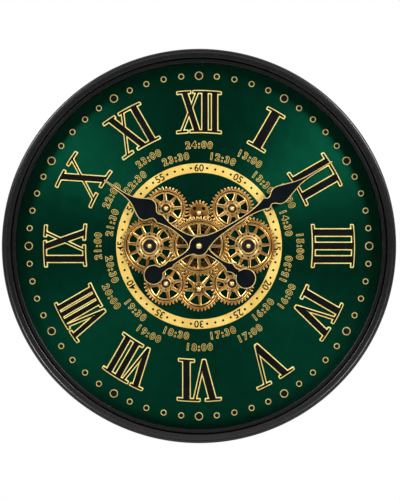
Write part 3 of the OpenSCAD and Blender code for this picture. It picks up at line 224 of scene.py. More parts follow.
def makeWearAndPaintedLight():
    # antique brass: faces turned away from the front, walls among them, get a dark painted shade, and edges
    # tilted a little towards the front get a painted highlight, broken up by a wear noise
    group, source, sink = newGroup("wearAndPaintedLight", {"Vector": None, "Normal": None, "Low": 0.2, "High": 0.55},
                                   ["Mask", "Edge"])
    split = group.nodes.new("ShaderNodeSeparateXYZ")
    group.links.new(source["Normal"], split.inputs[0])
    facing = mathNode(group, "MULTIPLY", split.outputs["Y"], -1.0)
    ragged = mathNode(group, "MULTIPLY_ADD", noiseNode(group, source["Vector"], 420.0, 3.0), 0.4, -0.2)
    # the mask falls off on faces turned away from the front, where the dark colour is painted shade
    mask = rangeNode(group, mathNode(group, "ADD", facing, ragged), source["Low"], source["High"])
    group.links.new(mask, sink["Mask"])
    # faces tilted a little from the front take a painted highlight, thinned in patches by a wear noise
    paintedHighlightSlope = rangeNode(group, facing, 0.985, 0.93)
    worn = rangeNode(group, noiseNode(group, source["Vector"], 150.0, 2.0), 0.3, 0.55, 0.45, 1.0)
    edge = mathNode(group, "MULTIPLY", mathNode(group, "MULTIPLY", paintedHighlightSlope, mask), worn)
    group.links.new(edge, sink["Edge"])
    return group


ringMarks, clouds, grain, wearAndPaintedLight = makeRingMarks(), makeClouds(), makeGrain(), makeWearAndPaintedLight()


def newMaterial(name, **sockets):
    # a Principled material, whose plain values are set on the shader's own sockets
    material = bpy.data.materials.new(name)
    material.use_nodes = True
    shader = material.node_tree.nodes["Principled BSDF"]
    for label, value in sockets.items():
        shader.inputs[label.replace("_", " ")].default_value = value
    return material, material.node_tree, shader


def objectVector(tree, center=(0, 0)):
    # Object coordinates, moved so that a pattern is centred on the piece's own axis
    source = tree.nodes.new("ShaderNodeTexCoord")
    mapping = tree.nodes.new("ShaderNodeMapping")
    mapping.inputs["Location"].default_value = (-center[0] / 1000, 0, -center[1] / 1000)
    tree.links.new(source.outputs["Object"], mapping.inputs["Vector"])
    return mapping.outputs["Vector"]


def placed(tree, group, **values):
    node = tree.nodes.new("ShaderNodeGroup")
    node.node_tree = group
    for label, value in values.items():
        fed(tree, node.inputs[label], value)
    return node.outputs


def bumped(tree, shader, height, strength):
    bump = tree.nodes.new("ShaderNodeBump")
    for label, value in (("Strength", strength), ("Distance", 0.0001), ("Height", height)):
        fed(tree, bump.inputs[label], value)
    tree.links.new(bump.outputs["Normal"], shader.inputs["Normal"])


def sprayedMaterial(name, low, high, rough, bump=0.25, scale=700.0, specular=0.5):
    # sprayed, moulded or cast finish: two close colours in patches, fine grain and uneven gloss
    material, tree, shader = newMaterial(name, Specular_IOR_Level=specular)
    vector = objectVector(tree)
    patches = placed(tree, clouds, Vector=vector, Scale=45.0)["Mask"]
    tree.links.new(mixNode(tree, patches, paint(*low), paint(*high)), shader.inputs["Base Color"])
    fine = placed(tree, grain, Vector=vector, Scale=scale)["Height"]
    gloss = rangeNode(tree, fine, 0.4, 1.1, rough - 0.05, rough + 0.07, "LINEAR")
    tree.links.new(gloss, shader.inputs["Roughness"])
    bumped(tree, shader, fine, bump)
    return material


def turnedTangent(tree, shader):
    # highlights run out from the piece's own axis, as on turned or brushed metal
    around = tree.nodes.new("ShaderNodeTangent")
    around.direction_type = "RADIAL"
    around.axis = "Y"
    tree.links.new(around.outputs["Tangent"], shader.inputs["Tangent"])


def metalMaterial(name, low, high, rough, center=(0, 0), density=2500.0, lines=0.15, patchScale=40.0,
                  turning=0.0):
    # bare or plated metal: cloudy colour, with turning marks round its own centre
    material, tree, shader = newMaterial(name, Metallic=1.0, Anisotropic=turning, Anisotropic_Rotation=0.25)
    if turning:
        turnedTangent(tree, shader)
    vector = objectVector(tree, center)
    patches = placed(tree, clouds, Vector=vector, Scale=patchScale)["Mask"]
    marks = placed(tree, ringMarks, Vector=vector, Density=density)["Lines"]
    tree.links.new(mixNode(tree, patches, paint(*low), paint(*high)), shader.inputs["Base Color"])
    gloss = rangeNode(tree, marks, 0.25, 0.75, rough - 0.06, rough + 0.08, "LINEAR")
    tree.links.new(gloss, shader.inputs["Roughness"])
    bumped(tree, shader, marks, lines)
    return material


def gearMaterial(name, center, low=(156, 108, 52), high=(194, 142, 76), edge=(252, 210, 128), rough=0.33,
                 density=1700.0):
    # antique brass: a painted highlight on its front edges, partly wear, and a dark painted shade on its
    # walls
    material, tree, shader = newMaterial(name, Metallic=1.0, Anisotropic=0.6, Anisotropic_Rotation=0.25)
    turnedTangent(tree, shader)
    vector = objectVector(tree, center)
    facing = tree.nodes.new("ShaderNodeTexCoord").outputs["Normal"]
    patches = placed(tree, clouds, Vector=vector, Scale=70.0, Low=0.3, High=0.7)["Mask"]
    wornAndPaintedLight = placed(tree, wearAndPaintedLight, Vector=vector, Normal=facing, Low=0.35, High=0.75)
    marks = placed(tree, ringMarks, Vector=vector, Density=density)["Lines"]
    brass = mixNode(tree, patches, paint(*low), paint(*high))
    # the near-black brown is painted shade on the walls, and the edge colour is a painted highlight, partly
    # wear
    brassWithPaintedShade = mixNode(tree, wornAndPaintedLight["Mask"], paint(12, 8, 4), brass)
    tree.links.new(mixNode(tree, wornAndPaintedLight["Edge"], brassWithPaintedShade, paint(*edge)), shader.inputs["Base Color"])
    dull = rangeNode(tree, marks, 0.2, 0.8, rough + 0.12, rough + 0.26, "LINEAR")
    gloss = mathNode(tree, "MULTIPLY_ADD", wornAndPaintedLight["Mask"], -0.18, dull)
    tree.links.new(gloss, shader.inputs["Roughness"])
    bumped(tree, shader, marks, 0.12)
    return material


print("materials")
framePaint = sprayedMaterial("framePaint", (10, 10, 12), (12, 12, 14), 0.23, 0.015, 900.0, 0.42)
bezelPaint = sprayedMaterial("bezelPaint", (7, 8, 9), (9, 10, 11), 0.28, 0.015, 900.0, 0.2)
studPaint = sprayedMaterial("studPaint", (4, 7, 6), (8, 11, 10), 0.35, specular=0.12)
washerPaint = sprayedMaterial("washerPaint", (9, 10, 12), (16, 17, 20), 0.3, specular=0.3)
facePaint = sprayedMaterial("facePaint", (9, 10, 10), (14, 15, 15), 0.4, 0.12, 1200.0, 0.04)
handPaint = sprayedMaterial("handPaint", (6, 11, 14), (11, 16, 19), 0.3, 0.1, 1400.0, 0.06)
inkPaint = sprayedMaterial("inkPaint", (11, 11, 9), (18, 17, 13), 0.5, 0.1, 2000.0, 0.05)
numberFill = sprayedMaterial("numberFill", (3, 22, 15), (5, 30, 21), 0.45, 0.1, 2000.0, 0.05)
caseMould = sprayedMaterial("caseMould", (21, 21, 23), (28, 28, 30), 0.5, 0.35, 1800.0)
setMould = sprayedMaterial("setMould", (196, 194, 186), (214, 212, 204), 0.42, 0.15, 1500.0)
switchMould = sprayedMaterial("switchMould", (176, 176, 170), (190, 190, 184), 0.42, 0.15, 1500.0)
boardLacquer = sprayedMaterial("boardLacquer", (16, 62, 36), (22, 78, 46), 0.33, 0.2, 1100.0)
chipResin = sprayedMaterial("chipResin", (20, 20, 21), (28, 28, 29), 0.55, 0.3, 2500.0)
boardBack = sprayedMaterial("boardBack", (66, 51, 36), (78, 61, 44), 0.75, 0.7, 520.0)
ringGold = metalMaterial("ringGold", (236, 200, 104), (250, 218, 126), 0.43, density=1500.0, lines=0.2)
eyeletGold = metalMaterial("eyeletGold", (254, 224, 132), (255, 240, 164), 0.36, density=4000.0,
                           patchScale=160.0)
numeralGold = metalMaterial("numeralGold", (254, 228, 134), (255, 242, 164), 0.4, density=3000.0,
                            patchScale=60.0)
printGold = metalMaterial("printGold", (232, 202, 110), (250, 224, 134), 0.42, patchScale=120.0)
edgeGold = metalMaterial("edgeGold", (222, 190, 118), (248, 220, 150), 0.4, patchScale=90.0)
steelPlate = metalMaterial("steelPlate", (158, 160, 164), (192, 194, 198), 0.3, lines=0.08, patchScale=210.0)
# dark brown brass as painted shade in the gears' grooves and the hubs' holes and hollows
paintedGrooveShade = metalMaterial("paintedGrooveShade", (18, 11, 6), (34, 22, 12), 0.5, patchScale=120.0)


def dialMaterial():
    # dark green lacquer over a metal leaf brushed in circles
    material, tree, shader = newMaterial("dialGreen", Metallic=1.0, Anisotropic=0.7,
                                         Anisotropic_Rotation=0.25)
    vector = objectVector(tree)
    patches = placed(tree, clouds, Vector=vector, Scale=9.0, Low=0.3, High=0.7)["Mask"]
    marks = placed(tree, ringMarks, Vector=vector, Density=1100.0)["Lines"]
    green = mixNode(tree, patches, paint(3, 48, 33), paint(4, 54, 37))
    fine = rangeNode(tree, marks, 0.25, 0.75)
    tree.links.new(mixNode(tree, fine, green, paint(5, 60, 42)), shader.inputs["Base Color"])
    tree.links.new(rangeNode(tree, marks, 0.2, 0.8, 0.3, 0.42, "LINEAR"), shader.inputs["Roughness"])
    turnedTangent(tree, shader)
    bumped(tree, shader, marks, 0.1)
    return material


def windingMaterial(center):
    # enamelled copper wire wound side by side along the coil, which stands upright
    material, tree, shader = newMaterial("windingCopper", Metallic=1.0)
    vector = objectVector(tree, center)
    waves = tree.nodes.new("ShaderNodeTexWave")
    waves.bands_direction = "Z"
    for label, value in (("Vector", vector), ("Scale", 1200.0), ("Distortion", 0.6)):
        fed(tree, waves.inputs[label], value)
    turns = waves.outputs["Fac"]
    patches = placed(tree, clouds, Vector=vector, Scale=260.0)["Mask"]
    copper = mixNode(tree, patches, paint(164, 84, 44), paint(206, 122, 72))
    tree.links.new(copper, shader.inputs["Base Color"])
    tree.links.new(rangeNode(tree, turns, 0.0, 1.0, 0.45, 0.28, "LINEAR"), shader.inputs["Roughness"])
    bumped(tree, shader, turns, 0.7)
    return material


print("frame")
frameSizes = {"beadCenter": 296.4, "beadHeight": 58.4, "bead": 3.6, "beadFrom": -78, "beadTurn": 220,
              "beadSteps": 16, "skirtOuter": 297.15, "skirtInner": 295.65, "flangeInner": 281.65,
              "sheet": 1.5, "bandInner": 286.8, "bandFront": 60.6, "grooveFloor": 51.6, "lipOuter": 284.4,
              "lipInner": 279.0, "lipFront": 59.4, "dialFront": 30.0, "edge": 0.95, "steps": 288}


def makeOuterFrame(s):
    bm = bmesh.new()
    profile = [(s["flangeInner"], 0), (s["skirtOuter"], 0)]
    for i in range(s["beadSteps"] + 1):
        a = math.radians(s["beadFrom"] + s["beadTurn"] * i / s["beadSteps"])
        profile.append((s["beadCenter"] + s["bead"] * math.cos(a), s["beadHeight"] + s["bead"] * math.sin(a)))
    inner = s["bandInner"] + s["sheet"]
    under = s["bandFront"] - s["sheet"]
    profile += [(s["bandInner"], s["bandFront"]), (s["bandInner"], s["grooveFloor"]),
                (inner, s["grooveFloor"]), (inner, under), (s["skirtInner"], under),
                (s["skirtInner"], s["sheet"]), (s["flangeInner"], s["sheet"])]
    turned(bm, profile, s["steps"])
    cleaned(bm)
    eased(bm, sharpEdges(bm, 60), s["edge"], 3)
    settled(bm, "outerFrame", "clock", [framePaint], ["outer_frame"])


def makeBezel(s):
    bm = bmesh.new()
    low, foot = s["grooveFloor"] - s["sheet"], s["bandInner"] + s["sheet"]
    under, wall = s["lipFront"] - s["sheet"], s["lipOuter"] - s["sheet"]
    inside = s["lipInner"] + s["sheet"]
    turned(bm, [(s["lipInner"], s["dialFront"]), (inside, s["dialFront"]), (inside, under), (wall, under),
                (wall, low), (foot, low), (foot, s["grooveFloor"]), (s["lipOuter"], s["grooveFloor"]),
                (s["lipOuter"], s["lipFront"]), (s["lipInner"], s["lipFront"])], s["steps"])
    cleaned(bm)
    eased(bm, [e for e in sharpEdges(bm, 60) if e.verts[0].co.z > s["lipFront"] - near], s["edge"], 3)
    settled(bm, "bezelRing", "clock", [bezelPaint], ["bezel_ring"])


makeOuterFrame(frameSizes)
makeBezel(frameSizes)


print("dial")
dialSizes = {"radius": 295.25, "bore": 3.93, "back": 25.0, "front": 30.0, "edge": 0.4, "ringInner": 112.8,
             "ringOuter": 127.5, "ringHeight": 1.1, "ringEdge": 0.3, "steps": 256}
eyeletSizes = {"circle": 262.0, "hourRadius": 6.5, "minuteRadius": 4.75, "wall": 1.55, "height": 1.6,
               "shoulder": 0.6, "crown": 0.55, "corner": 0.2, "stud": 0.9, "studGap": 0.02,
               "studDome": ((1, 0.45), (0.8, 0.72), (0.4, 0.87)), "studSteps": 24, "front": 30.0, "steps": 36}


def makeDial(s):
    bm = bmesh.new()
    turned(bm, [(s["bore"], s["back"]), (s["radius"], s["back"]), (s["radius"], s["front"]),
                (s["bore"], s["front"])], s["steps"])
    cleaned(bm)
    eased(bm, [e for e in sharpEdges(bm, 60) if e.verts[0].co.length > s["radius"] / 2], s["edge"])
    for face in bm.faces:
        face.material_index = 0 if face.normal.z > 0.99 else 1
    settled(bm, "dialPlate", "clock", [dialMaterial(), boardBack], ["dial_plate"])


def makeMinuteRing(s):
    bm = bmesh.new()
    top = s["front"] + s["ringHeight"]
    turned(bm, [(s["ringInner"], s["front"]), (s["ringOuter"], s["front"]), (s["ringOuter"], top),
                (s["ringInner"], top)], s["steps"])
    cleaned(bm)
    eased(bm, [e for e in sharpEdges(bm, 60) if e.verts[0].co.z > s["front"] + near], s["ringEdge"], 3)
    settled(bm, "minuteRing", "clock", [ringGold], ["minute_ring"])


def roundTheDial(bm, count=12):
    # copies what stands in the mesh on round the dial, evenly with its first place
    geom = list(bm.verts) + list(bm.edges) + list(bm.faces)
    bmesh.ops.spin(bm, geom=geom, cent=(0, 0, 0), axis=(0, 0, 1), angle=-2 * math.pi * (count - 1) / count,
                   steps=count - 1, use_duplicate=True)


def makeEyelets(s, name, radius, angles, node):
    bm = bmesh.new()
    low, top, inner = s["front"], s["front"] + s["height"], radius - s["wall"]
    profile = [(inner, low), (radius, low), (radius, top - s["shoulder"]),
               (radius - s["corner"], top - s["corner"]), (radius - s["crown"], top),
               (inner + s["crown"], top), (inner + s["corner"], top - s["corner"]),
               (inner, top - s["shoulder"])]
    for angle in angles:
        turned(bm, profile, s["steps"], clockTurn(angle) @ Vector((0, s["circle"], 0)))
    cleaned(bm)
    roundTheDial(bm)
    settled(bm, name, "clock", [eyeletGold], [node], sharp=50)


def makeStuds(s):
    bm = bmesh.new()
    for angle in range(0, hourAngle, minuteAngle):
        radius = (s["minuteRadius"] if angle else s["hourRadius"]) - s["wall"] - s["studGap"]
        dome = [(radius * share, s["front"] + height) for share, height in s["studDome"]]
        profile = [(0, s["front"]), (radius, s["front"]), *dome, (0, s["front"] + s["stud"])]
        turned(bm, profile, s["studSteps"], clockTurn(angle) @ Vector((0, s["circle"], 0)))
    cleaned(bm)
    roundTheDial(bm)
    settled(bm, "eyeletStuds", "clock", [studPaint], ["eyelet_studs"], sharp=50)


makeDial(dialSizes)
makeMinuteRing(dialSizes)
makeEyelets(eyeletSizes, "hourEyelets", eyeletSizes["hourRadius"], [0], "hour_eyelets")
makeEyelets(eyeletSizes, "minuteEyelets", eyeletSizes["minuteRadius"],
            range(minuteAngle, hourAngle, minuteAngle), "minute_eyelets")
makeStuds(eyeletSizes)


print("numerals")
numeralSizes = {"outer": 1.9, "counter": 1.5, "sunkOuter": 2.4, "sunkInner": 0.75, "step": 0.25,
                "sideShare": 0.44, "cornerTurn": 20, "cornerRise": 0.5, "slope": 0.55, "drop": 0.4,
                "top": 33.0, "face": 32.0, "foot": 30.0}


def cornerWidth(s, edge):
    # how far an upright corner is rounded: by what it bounds, and never past the middle of its shorter side
    outside = min(v.co.z for v in edge.verts) < s["foot"] + near
    if outside:
        width = s["outer"] if edge.is_convex else s["counter"]
    else:
        width = s["sunkInner"] if edge.is_convex else s["sunkOuter"]
    height = edge.calc_length()
    sides = [sum(e.calc_length() for e in f.edges) / 2 - height for f in edge.link_faces]
    return min(width, s["sideShare"] * min(sides))


def roundCorners(bm, s):
    # each width is done in its own go, and its corners are found again by their places
    def place(edge):
        return round(edge.verts[0].co.x, 2), round(edge.verts[0].co.y, 2)

    widths = {}
    for edge in sharpEdges(bm, s["cornerTurn"]):
        if rise(edge.verts) > s["cornerRise"]:
            step = int(cornerWidth(s, edge) / s["step"])
            widths.setdefault(step, set()).add(place(edge))
    for step, places in sorted(widths.items()):
        corners = [e for e in bm.edges if rise(e.verts) > s["cornerRise"] and place(e) in places]
        if step and corners:
            eased(bm, corners, step * s["step"], 3, clamp=False)


def makeNumeral(s, number):
    # the walls round a sunk face and the slopes above them are as black as the face
    bm = copied(f"numeral_{number}")
    roundCorners(bm, s)
    tops = [f for f in bm.faces if min(v.co.z for v in f.verts) > s["top"] - near]
    inner = set()
    for slope in sloped(bm, tops, s["slope"], s["drop"]):
        beside = [v.co.z for e in slope.edges for f in e.link_faces for v in f.verts]
        if min(beside) > s["foot"] + near:
            inner.add(slope)
    for face in bm.faces:
        heights = [v.co.z for v in face.verts]
        inside = min(heights) > s["face"] - near and max(heights) < s["top"] - near
        face.material_index = 1 if inside or face in inner else 0
    settled(bm, f"numeral{number}", "clock", [numeralGold, facePaint], [f"numeral_{number}"])


for number in range(1, 13):
    makeNumeral(numeralSizes, number)


print("print on the dial")
printSizes = {"ringRadius": 120.2, "ringTop": 31.1, "digitHeight": 10.6, "digitWeight": 0.28,
              "dotRadius": 1.85, "dotSteps": 20, "ink": 0.03, "dialFront": 30.0, "outerRadius": 156.0,
              "innerRadius": 139.4, "numberHeight": 10.3, "rimWeight": 0.72, "faceWeight": 0.1,
              "spacing": 1.3, "relief": 0.22, "faceLift": 0.06}
digitShare, digitMiddle = 0.7, 0.041  # of the built-in font at size 1: its digits' height, and their middle


def lettered(bm, words, height, weight, thick, place, spacing=1.0):
    # adds flat words to a mesh: place takes them from the origin to where they go
    curve = bpy.data.curves.new("words", "FONT")
    curve.body, curve.size = words, height / digitShare
    curve.align_x, curve.align_y = "CENTER", "CENTER"
    curve.offset, curve.extrude, curve.resolution_u, curve.space_character = weight, thick / 2, 4, spacing
    text = bpy.data.objects.new("words", curve)
    bpy.context.scene.collection.objects.link(text)
    bpy.context.view_layer.update()
    mesh = bpy.data.meshes.new_from_object(text.evaluated_get(bpy.context.evaluated_depsgraph_get()))
    old = set(bm.verts)
    bm.from_mesh(mesh)
    bpy.data.objects.remove(text)
    bpy.data.curves.remove(curve)
    bpy.data.meshes.remove(mesh)
    fresh = [v for v in bm.verts if v not in old]
    bmesh.ops.translate(bm, verts=fresh, vec=(0, -digitMiddle * height / digitShare, thick / 2))
    for vert in fresh:
        vert.co = place(vert.co)


def roundPlace(angle, radius, height, outward=True):
    # bends words round the dial, with their tops outwards or inwards
    def place(point):
        side = 1 if outward else -1
        turn = math.radians(angle) + side * point.x / radius
        reach = radius + side * point.y
        return Vector((reach * math.sin(turn), reach * math.cos(turn), height + point.z))
    return place


def makeRingPrint(s):
    bm = bmesh.new()
    for minute in range(1, 61):
        angle = minuteAngle * minute
        if minute % 5:
            disc = bmesh.ops.create_circle(bm, cap_ends=True, radius=s["dotRadius"], segments=s["dotSteps"])
            place = clockTurn(angle) @ Vector((0, s["ringRadius"], s["ringTop"] + s["ink"]))
            bmesh.ops.translate(bm, verts=disc["verts"], vec=place)
        else:
            lettered(bm, f"{minute:02d}", s["digitHeight"], s["digitWeight"], s["ink"],
                     roundPlace(angle, s["ringRadius"], s["ringTop"]))
    settled(bm, "minutePrint", "clock", [inkPaint])


def makeDayNumbers(s, name, weight, relief, material):
    # the full hours of the day's second half stand on the outer circle, and the half hours on the inner one
    bm = bmesh.new()
    for hour in range(12):
        for minutes, radius in ((0, s["outerRadius"]), (30, s["innerRadius"])):
            angle = hourAngle * (hour + minutes / 60)
            number = hour + 12 if hour or minutes else 24
            lettered(bm, f"{number}:{minutes:02d}", s["numberHeight"], weight, relief,
                     roundPlace(angle, radius, s["dialFront"], not 90 < angle < 270), s["spacing"])
    settled(bm, name, "clock", [material])


makeRingPrint(printSizes)
makeDayNumbers(printSizes, "dayNumberRims", printSizes["rimWeight"], printSizes["relief"],
               printGold)
makeDayNumbers(printSizes, "dayNumberFaces", printSizes["faceWeight"],
               printSizes["relief"] + printSizes["faceLift"], numberFill)


print("gears")
gearSizes = {"toothEdge": 0.4, "windowEdge": 1.0, "windowCorner": 0.9, "cornerShare": 0.35, "cornerTurn": 25,
             "edgeTurn": 40, "tall": 2.0, "toothDepth": 5.0, "frontTop": 41.5, "rearTop": 36.5, "groove": 0.3,
             "grooveDepth": 1.0}
# up to paintedShadeTo, as a share of the flange radius, a hub's low floor near its axis gets painted shade
hubSizes = {"edge": 0.2, "edgeTurn": 20, "flange": 1.5, "dotArea": 7.5, "dotSides": 8, "step": 0.05,
            "polishedFrom": 0.44, "paintedShadeTo": 0.64}
flangeRadii = {"hub_left": 21.0, "hub_right": 21.0, "hub_bottom": 11.0, "center_hub": 19.0,
               "hub_upper_left": 13.0, "hub_upper_right": 13.0, "hub_lower_left": 13.0,
               "hub_lower_right": 13.0}
rearNodes = ("center_gear_rear", "gear_left", "gear_right", "gear_top", "gear_bottom", "hub_left",
             "hub_right", "hub_bottom")
# the rear layer's brass is painted a little darker as shade under the front layer
rearPaintedShade = {"low": (146, 100, 47), "high": (182, 132, 68), "edge": (244, 198, 118)}
# the centre's rear gear, behind the front gear's spokes, is painted dark brown as shadow
centerRearPaintedShadow = {"low": (56, 36, 18), "high": (88, 58, 32), "edge": (150, 112, 68)}
hubShades = {"low": (204, 156, 90), "high": (234, 188, 116), "rough": 0.3, "density": 1900.0}
polish = {"low": (242, 196, 122), "high": (254, 218, 148), "rough": 0.3, "density": 1800.0, "lines": 0.03,
          "patchScale": 90.0, "turning": 0.55}
sideDistance, cornerDistance, bottomDistance, topDistance, cornerAngle = 75.65, 76.54, 65.86, 50.73, 41.5
cornerX = cornerDistance * math.sin(math.radians(cornerAngle))
cornerY = cornerDistance * math.cos(math.radians(cornerAngle))
gearAxes = {"center_gears": (0, 0), "left_gear": (-sideDistance, 0), "right_gear": (sideDistance, 0),
            "upper_left_gear": (-cornerX, cornerY), "upper_right_gear": (cornerX, cornerY),
            "lower_left_gear": (-cornerX, -cornerY), "lower_right_gear": (cornerX, -cornerY),
            "top_gear": (0, topDistance), "bottom_gear": (0, -bottomDistance)}
gearNodes = {"center_gear_front": "center_gears", "center_gear_rear": "center_gears",
             "gear_left": "left_gear", "gear_right": "right_gear", "gear_upper_left": "upper_left_gear",
             "gear_upper_right": "upper_right_gear", "gear_lower_left": "lower_left_gear",
             "gear_lower_right": "lower_right_gear", "gear_top": "top_gear", "gear_bottom": "bottom_gear"}
hubNodes = {"center_hub": "center_gears", "hub_left": "left_gear", "hub_right": "right_gear",
            "hub_upper_left": "upper_left_gear", "hub_upper_right": "upper_right_gear",
            "hub_lower_left": "lower_left_gear", "hub_lower_right": "lower_right_gear",
            "hub_bottom": "bottom_gear"}


def camel(node):
    first, *rest = node.split("_")
    return first + "".join(word.capitalize() for word in rest)


def frontOf(node):
    return gearSizes["rearTop"] if node in rearNodes else gearSizes["frontTop"]


def reach(vert, axis):
    return math.hypot(vert.co.x - axis[0], vert.co.y - axis[1])


def makeGear(s, node, body):
    # the windows' corners are rounded first, then the windows' front edges, then all other front edges
    bm = copied(node)
    front, axis = frontOf(node), gearAxes[body]
    rim = max(reach(v, axis) for v in bm.verts) - s["toothDepth"]
    corners = [e for e in sharpEdges(bm, s["cornerTurn"])
               if rise(e.verts) > s["tall"] and reach(e.verts[0], axis) < rim]
    if corners:
        sides = [f.calc_area() / e.calc_length() for e in corners for f in e.link_faces]
        eased(bm, corners, min(s["windowCorner"], s["cornerShare"] * min(sides)), clamp=False)
    windows = [e for e in sharpEdges(bm, s["edgeTurn"])
               if all(v.co.z > front - near and reach(v, axis) < rim for v in e.verts)
               and any(rise(f.verts) > s["tall"] for f in e.link_faces)]
    if windows:
        eased(bm, windows, s["windowEdge"], clamp=False)
    rest = [e for e in sharpEdges(bm, s["edgeTurn"]) if all(v.co.z > front - near for v in e.verts)]
    eased(bm, rest, s["toothEdge"], clamp=False)
    # the sunk floor of the rim's groove gets painted shade, except on the top gear
    for face in bm.faces:
        middle = face.calc_center_median().z
        sunk = face.normal.z > 0.9 and front - s["grooveDepth"] < middle < front - s["groove"]
        face.material_index = 1 if sunk and node != "gear_top" else 0
    # rear gears take painted shade, and the centre's rear gear a deeper painted shadow
    shades = centerRearPaintedShadow if node == "center_gear_rear" else rearPaintedShade if node in rearNodes else {}
    brass = gearMaterial(camel(node) + "Brass", axis, **shades)
    settled(bm, camel(node), body, [brass, paintedGrooveShade], [node])


def makeHub(s, node, body):
    # the flange has dots, which are shallow holes dark with painted shade, the rings that stand on it are
    # polished, and what they enclose is dark with painted shade
    bm = copied(node)
    axis = gearAxes[body]
    dots = [f for f in bm.faces
            if f.normal.z > 0.9 and f.calc_area() < s["dotArea"] and len(f.verts) > s["dotSides"]]
    dots += [f for dot in dots for e in dot.edges for f in e.link_faces if abs(f.normal.z) < 0.5]
    for face in bm.faces:
        face.material_index = 1 if face in dots else 0
    rims = [e for e in sharpEdges(bm, s["edgeTurn"])
            if e.is_convex and not any(f in dots for f in e.link_faces)]
    # the bottom hub has dots so near its edge that only a clamped bevel fits
    eased(bm, rims, s["edge"], clamp=node == "hub_bottom")
    # faces low and near the axis, inside the polished rings, get painted shade
    level = frontOf(node) + s["flange"]
    for face in bm.faces:
        height = max(v.co.z for v in face.verts)
        share = max(reach(v, axis) for v in face.verts) / flangeRadii[node]
        if height > level + s["step"] and share > s["polishedFrom"]:
            face.material_index = 2
        elif height > level - s["step"] and share < s["paintedShadeTo"]:
            face.material_index = 1
    brass = gearMaterial(camel(node) + "Brass", axis, **hubShades)
    polished = metalMaterial(camel(node) + "Polish", center=axis, **polish)
    settled(bm, camel(node), body, [brass, paintedGrooveShade, polished], [node])


for node, body in gearNodes.items():
    makeGear(gearSizes, node, body)
for node, body in hubNodes.items():
    makeHub(hubSizes, node, body)


print("posts, washers and nuts")
nutBrass = metalMaterial("nutBrass", (222, 178, 112), (250, 214, 150), 0.2, density=3000.0, lines=0.05,
                         patchScale=200.0)
sleeveBrass = metalMaterial("sleeveBrass", (206, 160, 96), (232, 190, 124), 0.28, lines=0.1)
arborNut, arborWasher = 45.02, 43.95  # where the drive arbor's nut and washer begin


def makeEasedCopy(node, body, materials, width, segments=2, pick=None):
    # a CAD node again with eased edges; pick gives a face its place in the list of materials
    bm = copied(node)
    if width:
        eased(bm, sharpEdges(bm, 35), width, segments)
    if pick:
        for face in bm.faces:
            face.material_index = pick(face.calc_center_median())
    settled(bm, camel(node), body, materials, [node])


makeEasedCopy("gear_posts", "clock", [steelPlate], 0.2)
makeEasedCopy("post_washers", "clock", [washerPaint], 0.2)
makeEasedCopy("ball_nuts", "clock", [nutBrass], 0)
makeEasedCopy("center_sleeve", "clock", [sleeveBrass], 0.2)
makeEasedCopy("hand_nut", "minute_hand", [nutBrass], 0)
makeEasedCopy("drive_arbor", "bottom_gear", [nutBrass, washerPaint, steelPlate], 0.15,
              pick=lambda middle: 0 if middle.z > arborNut else 1 if middle.z > arborWasher else 2)


print("hands")
handSizes = {"goldLine": 1.05, "edge": 0.2, "edgeTurn": 40}


def makeHand(s, node, body):
    bm = copied(node)
    front = [f for f in bm.faces if f.normal.z > 0.99]
    line = set(bmesh.ops.inset_region(bm, faces=front, thickness=s["goldLine"], depth=0.0, use_boundary=True,
                                      use_even_offset=False)["faces"])
    for face in bm.faces:
        face.material_index = 1 if face in line else 0
    top = max(v.co.z for v in bm.verts)
    rims = [e for e in sharpEdges(bm, s["edgeTurn"]) if all(v.co.z > top - near for v in e.verts)]
    eased(bm, rims, s["edge"])
    settled(bm, camel(node), body, [handPaint, edgeGold], [node])


makeHand(handSizes, "hour_hand", "hour_hand")
makeHand(handSizes, "minute_hand", "minute_hand")


print("works behind the dial")
coilCenter, boardTop = (-21.7, 0), 22.4
makeEasedCopy("hour_pipe", "hour_hand", [sleeveBrass], 0.08)
makeEasedCopy("minute_arbor", "minute_hand", [steelPlate], 0.08)
makeEasedCopy("movement_case", "clock", [caseMould], 0.4, 3)
makeEasedCopy("movement_cover", "clock", [caseMould], 0.35, 3)
makeEasedCopy("drive_case", "clock", [caseMould], 0.4, 3)
makeEasedCopy("drive_cover", "clock", [caseMould], 0.35, 3)
makeEasedCopy("set_wheel", "set_wheel", [setMould], 0.15)
makeEasedCopy("switch_slider", "switch_slider", [switchMould], 0.3, 3)
makeEasedCopy("drive_motor", "clock", [steelPlate], 0.5, 3)
makeEasedCopy("motor_pinion", "motor_pinion", [nutBrass], 0.08)
makeEasedCopy("movement_parts", "clock",
              [windingMaterial(coilCenter), boardLacquer, chipResin], 0.1,
              pick=lambda middle: 0 if middle.x < 0 else 1 if middle.z > boardTop else 2)
makeEasedCopy("battery_contacts", "clock", [steelPlate], 0.12)
makeEasedCopy("dial_clips", "clock", [steelPlate], 0.3)
makeEasedCopy("hanger", "clock", [steelPlate], 0.3)
makeEasedCopy("screws", "clock", [steelPlate], 0.3)


print("studio")
bpy.context.scene.view_settings.view_transform = "Standard"
cameraSizes = {"distance": 2.562, "lens": 118.5, "sensor": 36.0, "shiftX": 0.002, "shiftY": -0.008,
               "far": 50.0}
softboxes = {"keyRight": {"power": 52.0, "size": 0.8, "place": (1.4, -2.2, 1.02)},
             "fillLeft": {"power": 40.0, "size": 0.8, "place": (-1.38, -2.2, 1.05)},
             "backLeft": {"power": 26.0, "size": 1.2, "place": (-1.5, 2.0, 1.3)}}
worldSizes = {"strength": 0.26, "roomFront": 0.08, "white": (0, 0.8, 0.6), "roomFrom": -0.8, "roomTo": 0.3}
floorSizes = {"half": 3.0, "place": (0, -2.25, -0.52)}


